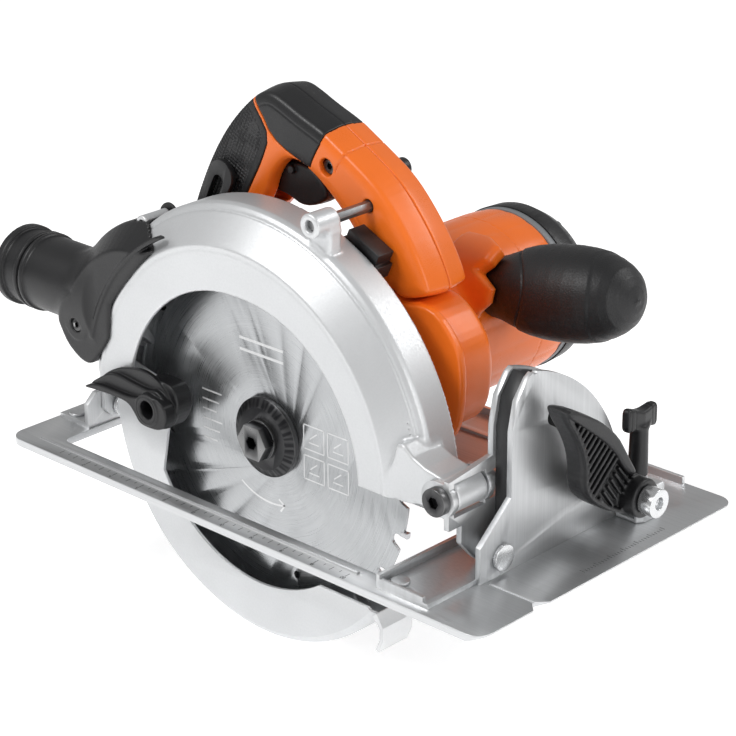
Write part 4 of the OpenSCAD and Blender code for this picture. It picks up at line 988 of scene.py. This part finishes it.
def arc_strokes(radius, start, end, half):
    steps = 14
    turn = [math.radians(start + (end - start) * k / steps) for k in range(steps + 1)]
    points = [(radius * math.cos(t), radius * math.sin(t)) for t in turn]
    strokes = [mark_stroke(points[k], points[k + 1], half) for k in range(steps)]
    for reach in (-3.2, 3.2):
        r = radius + reach
        t = turn[-1] - 0.10
        strokes.append(mark_stroke((r * math.cos(t), r * math.sin(t)), points[-1], half))
    return strokes


def make_blade_marks():
    """Plain lines, frames and an arrow, as faint as the etching on the blade."""
    strokes = []
    for row in range(6):
        z = 12 - 5.2 * row
        strokes.append(mark_stroke((-47, z), (-33 - 2 * (row % 3), z), 0.45))
    for column in range(2):
        for row in range(2):
            strokes += frame_strokes(24 + 16 * column, 1 - 16 * row, 13.5, 12.5, 0.35)
    for row in range(2):
        strokes.append(mark_stroke((-19, 47 - 6 * row), (11, 47 - 6 * row), 0.7))
    strokes += arc_strokes(ARROW_R, ARROW_START, ARROW_END, 0.5)
    verts, faces = [], []
    for corners in strokes:
        first = len(verts)
        for y in (MARKS_Y, MARKS_Y + MARK_DEEP):
            verts += [(x * MM, y * MM, (ARBOR_Z + z) * MM) for x, z in corners]
        k = first
        faces += [(k, k + 1, k + 2, k + 3), (k + 7, k + 6, k + 5, k + 4)]
        faces += [(k + i, k + i + 4, k + (i + 1) % 4 + 4, k + (i + 1) % 4) for i in range(4)]
    piece = new_piece("blade_marks", verts, faces, False)
    wear(piece, "gear_metal")
    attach(piece, "blade_group")
    return piece


make_handle()
make_controls()
make_motor()
make_guards()
make_clamp()
make_scales()
make_blade_marks()

# ---- camera, floor and light ---------------------------------------------------

CAMERA_AT = (0.78335, -0.75375, 0.51470)
CAMERA_AZIMUTH, CAMERA_RISE, CAMERA_ROLL = 43.58, 22.49, -0.43
CAMERA_LENS, SENSOR = 119.43, 36.0


def make_camera():
    a, e, r = (math.radians(v) for v in (CAMERA_AZIMUTH, CAMERA_RISE, CAMERA_ROLL))
    back = Vector((math.sin(a) * math.cos(e), -math.cos(a) * math.cos(e), math.sin(e)))
    right = Vector((math.cos(a), math.sin(a), 0))
    up = back.cross(right)
    tilted_right = math.cos(r) * right + math.sin(r) * up
    tilted_up = -math.sin(r) * right + math.cos(r) * up
    data = bpy.data.cameras.new("camera")
    data.lens, data.sensor_width = CAMERA_LENS, SENSOR
    data.clip_start, data.clip_end = 0.01, 50
    camera = bpy.data.objects.new("camera", data)
    turn = Matrix((tilted_right, tilted_up, back)).transposed().to_4x4()
    camera.matrix_world = Matrix.Translation(CAMERA_AT) @ turn
    bpy.context.scene.collection.objects.link(camera)
    bpy.context.scene.camera = camera


def make_floor():
    low = CAD_BOX[0][2] - 0.0005
    size = 6.0
    floor = new_piece("floor",
                      [(-size, -size, low), (size, -size, low), (size, size, low), (-size, size, low)],
                      [(0, 1, 2, 3)])
    s = Shader("studio_floor")
    tone = s.mix(s.noise(3, 2), (0.93, 0.93, 0.93, 1), (0.96, 0.96, 0.96, 1))
    s.feed(s.bsdf.inputs["Emission Color"], (1, 1, 1, 1))
    s.feed(s.bsdf.inputs["Emission Strength"], 0.5)
    floor.data.materials.append(s.finish(tone, 0.7))


def area_light(name, at, target, size, power, colour=(1, 1, 1)):
    data = bpy.data.lights.new(name, "AREA")
    data.shape = "RECTANGLE"
    data.size, data.size_y = size
    data.energy = power
    data.color = colour
    light = bpy.data.objects.new(name, data)
    light.location = at
    light.rotation_euler = (Vector(target) - Vector(at)).to_track_quat("-Z", "Y").to_euler()
    bpy.context.scene.collection.objects.link(light)


def make_light():
    world = bpy.data.worlds.new("studio")
    world.use_nodes = True
    world.node_tree.nodes["Background"].inputs[0].default_value = (1, 1, 1, 1)
    world.node_tree.nodes["Background"].inputs[1].default_value = 0.40
    bpy.context.scene.world = world
    area_light("key", (-0.5, -1.2, 1.6), (0, 0, 0.06), (0.8, 0.6), 19)
    area_light("rim", (0.9, 1.2, 1.2), (0, 0, 0.08), (0.9, 0.6), 9)
    area_light("side", (1.4, -0.3, 0.5), (0.05, 0, 0.05), (0.5, 0.9), 4.5)


make_camera()
make_floor()
make_light()
bpy.context.scene.view_settings.view_transform = "Standard"
bpy.context.scene.view_settings.look = "None"
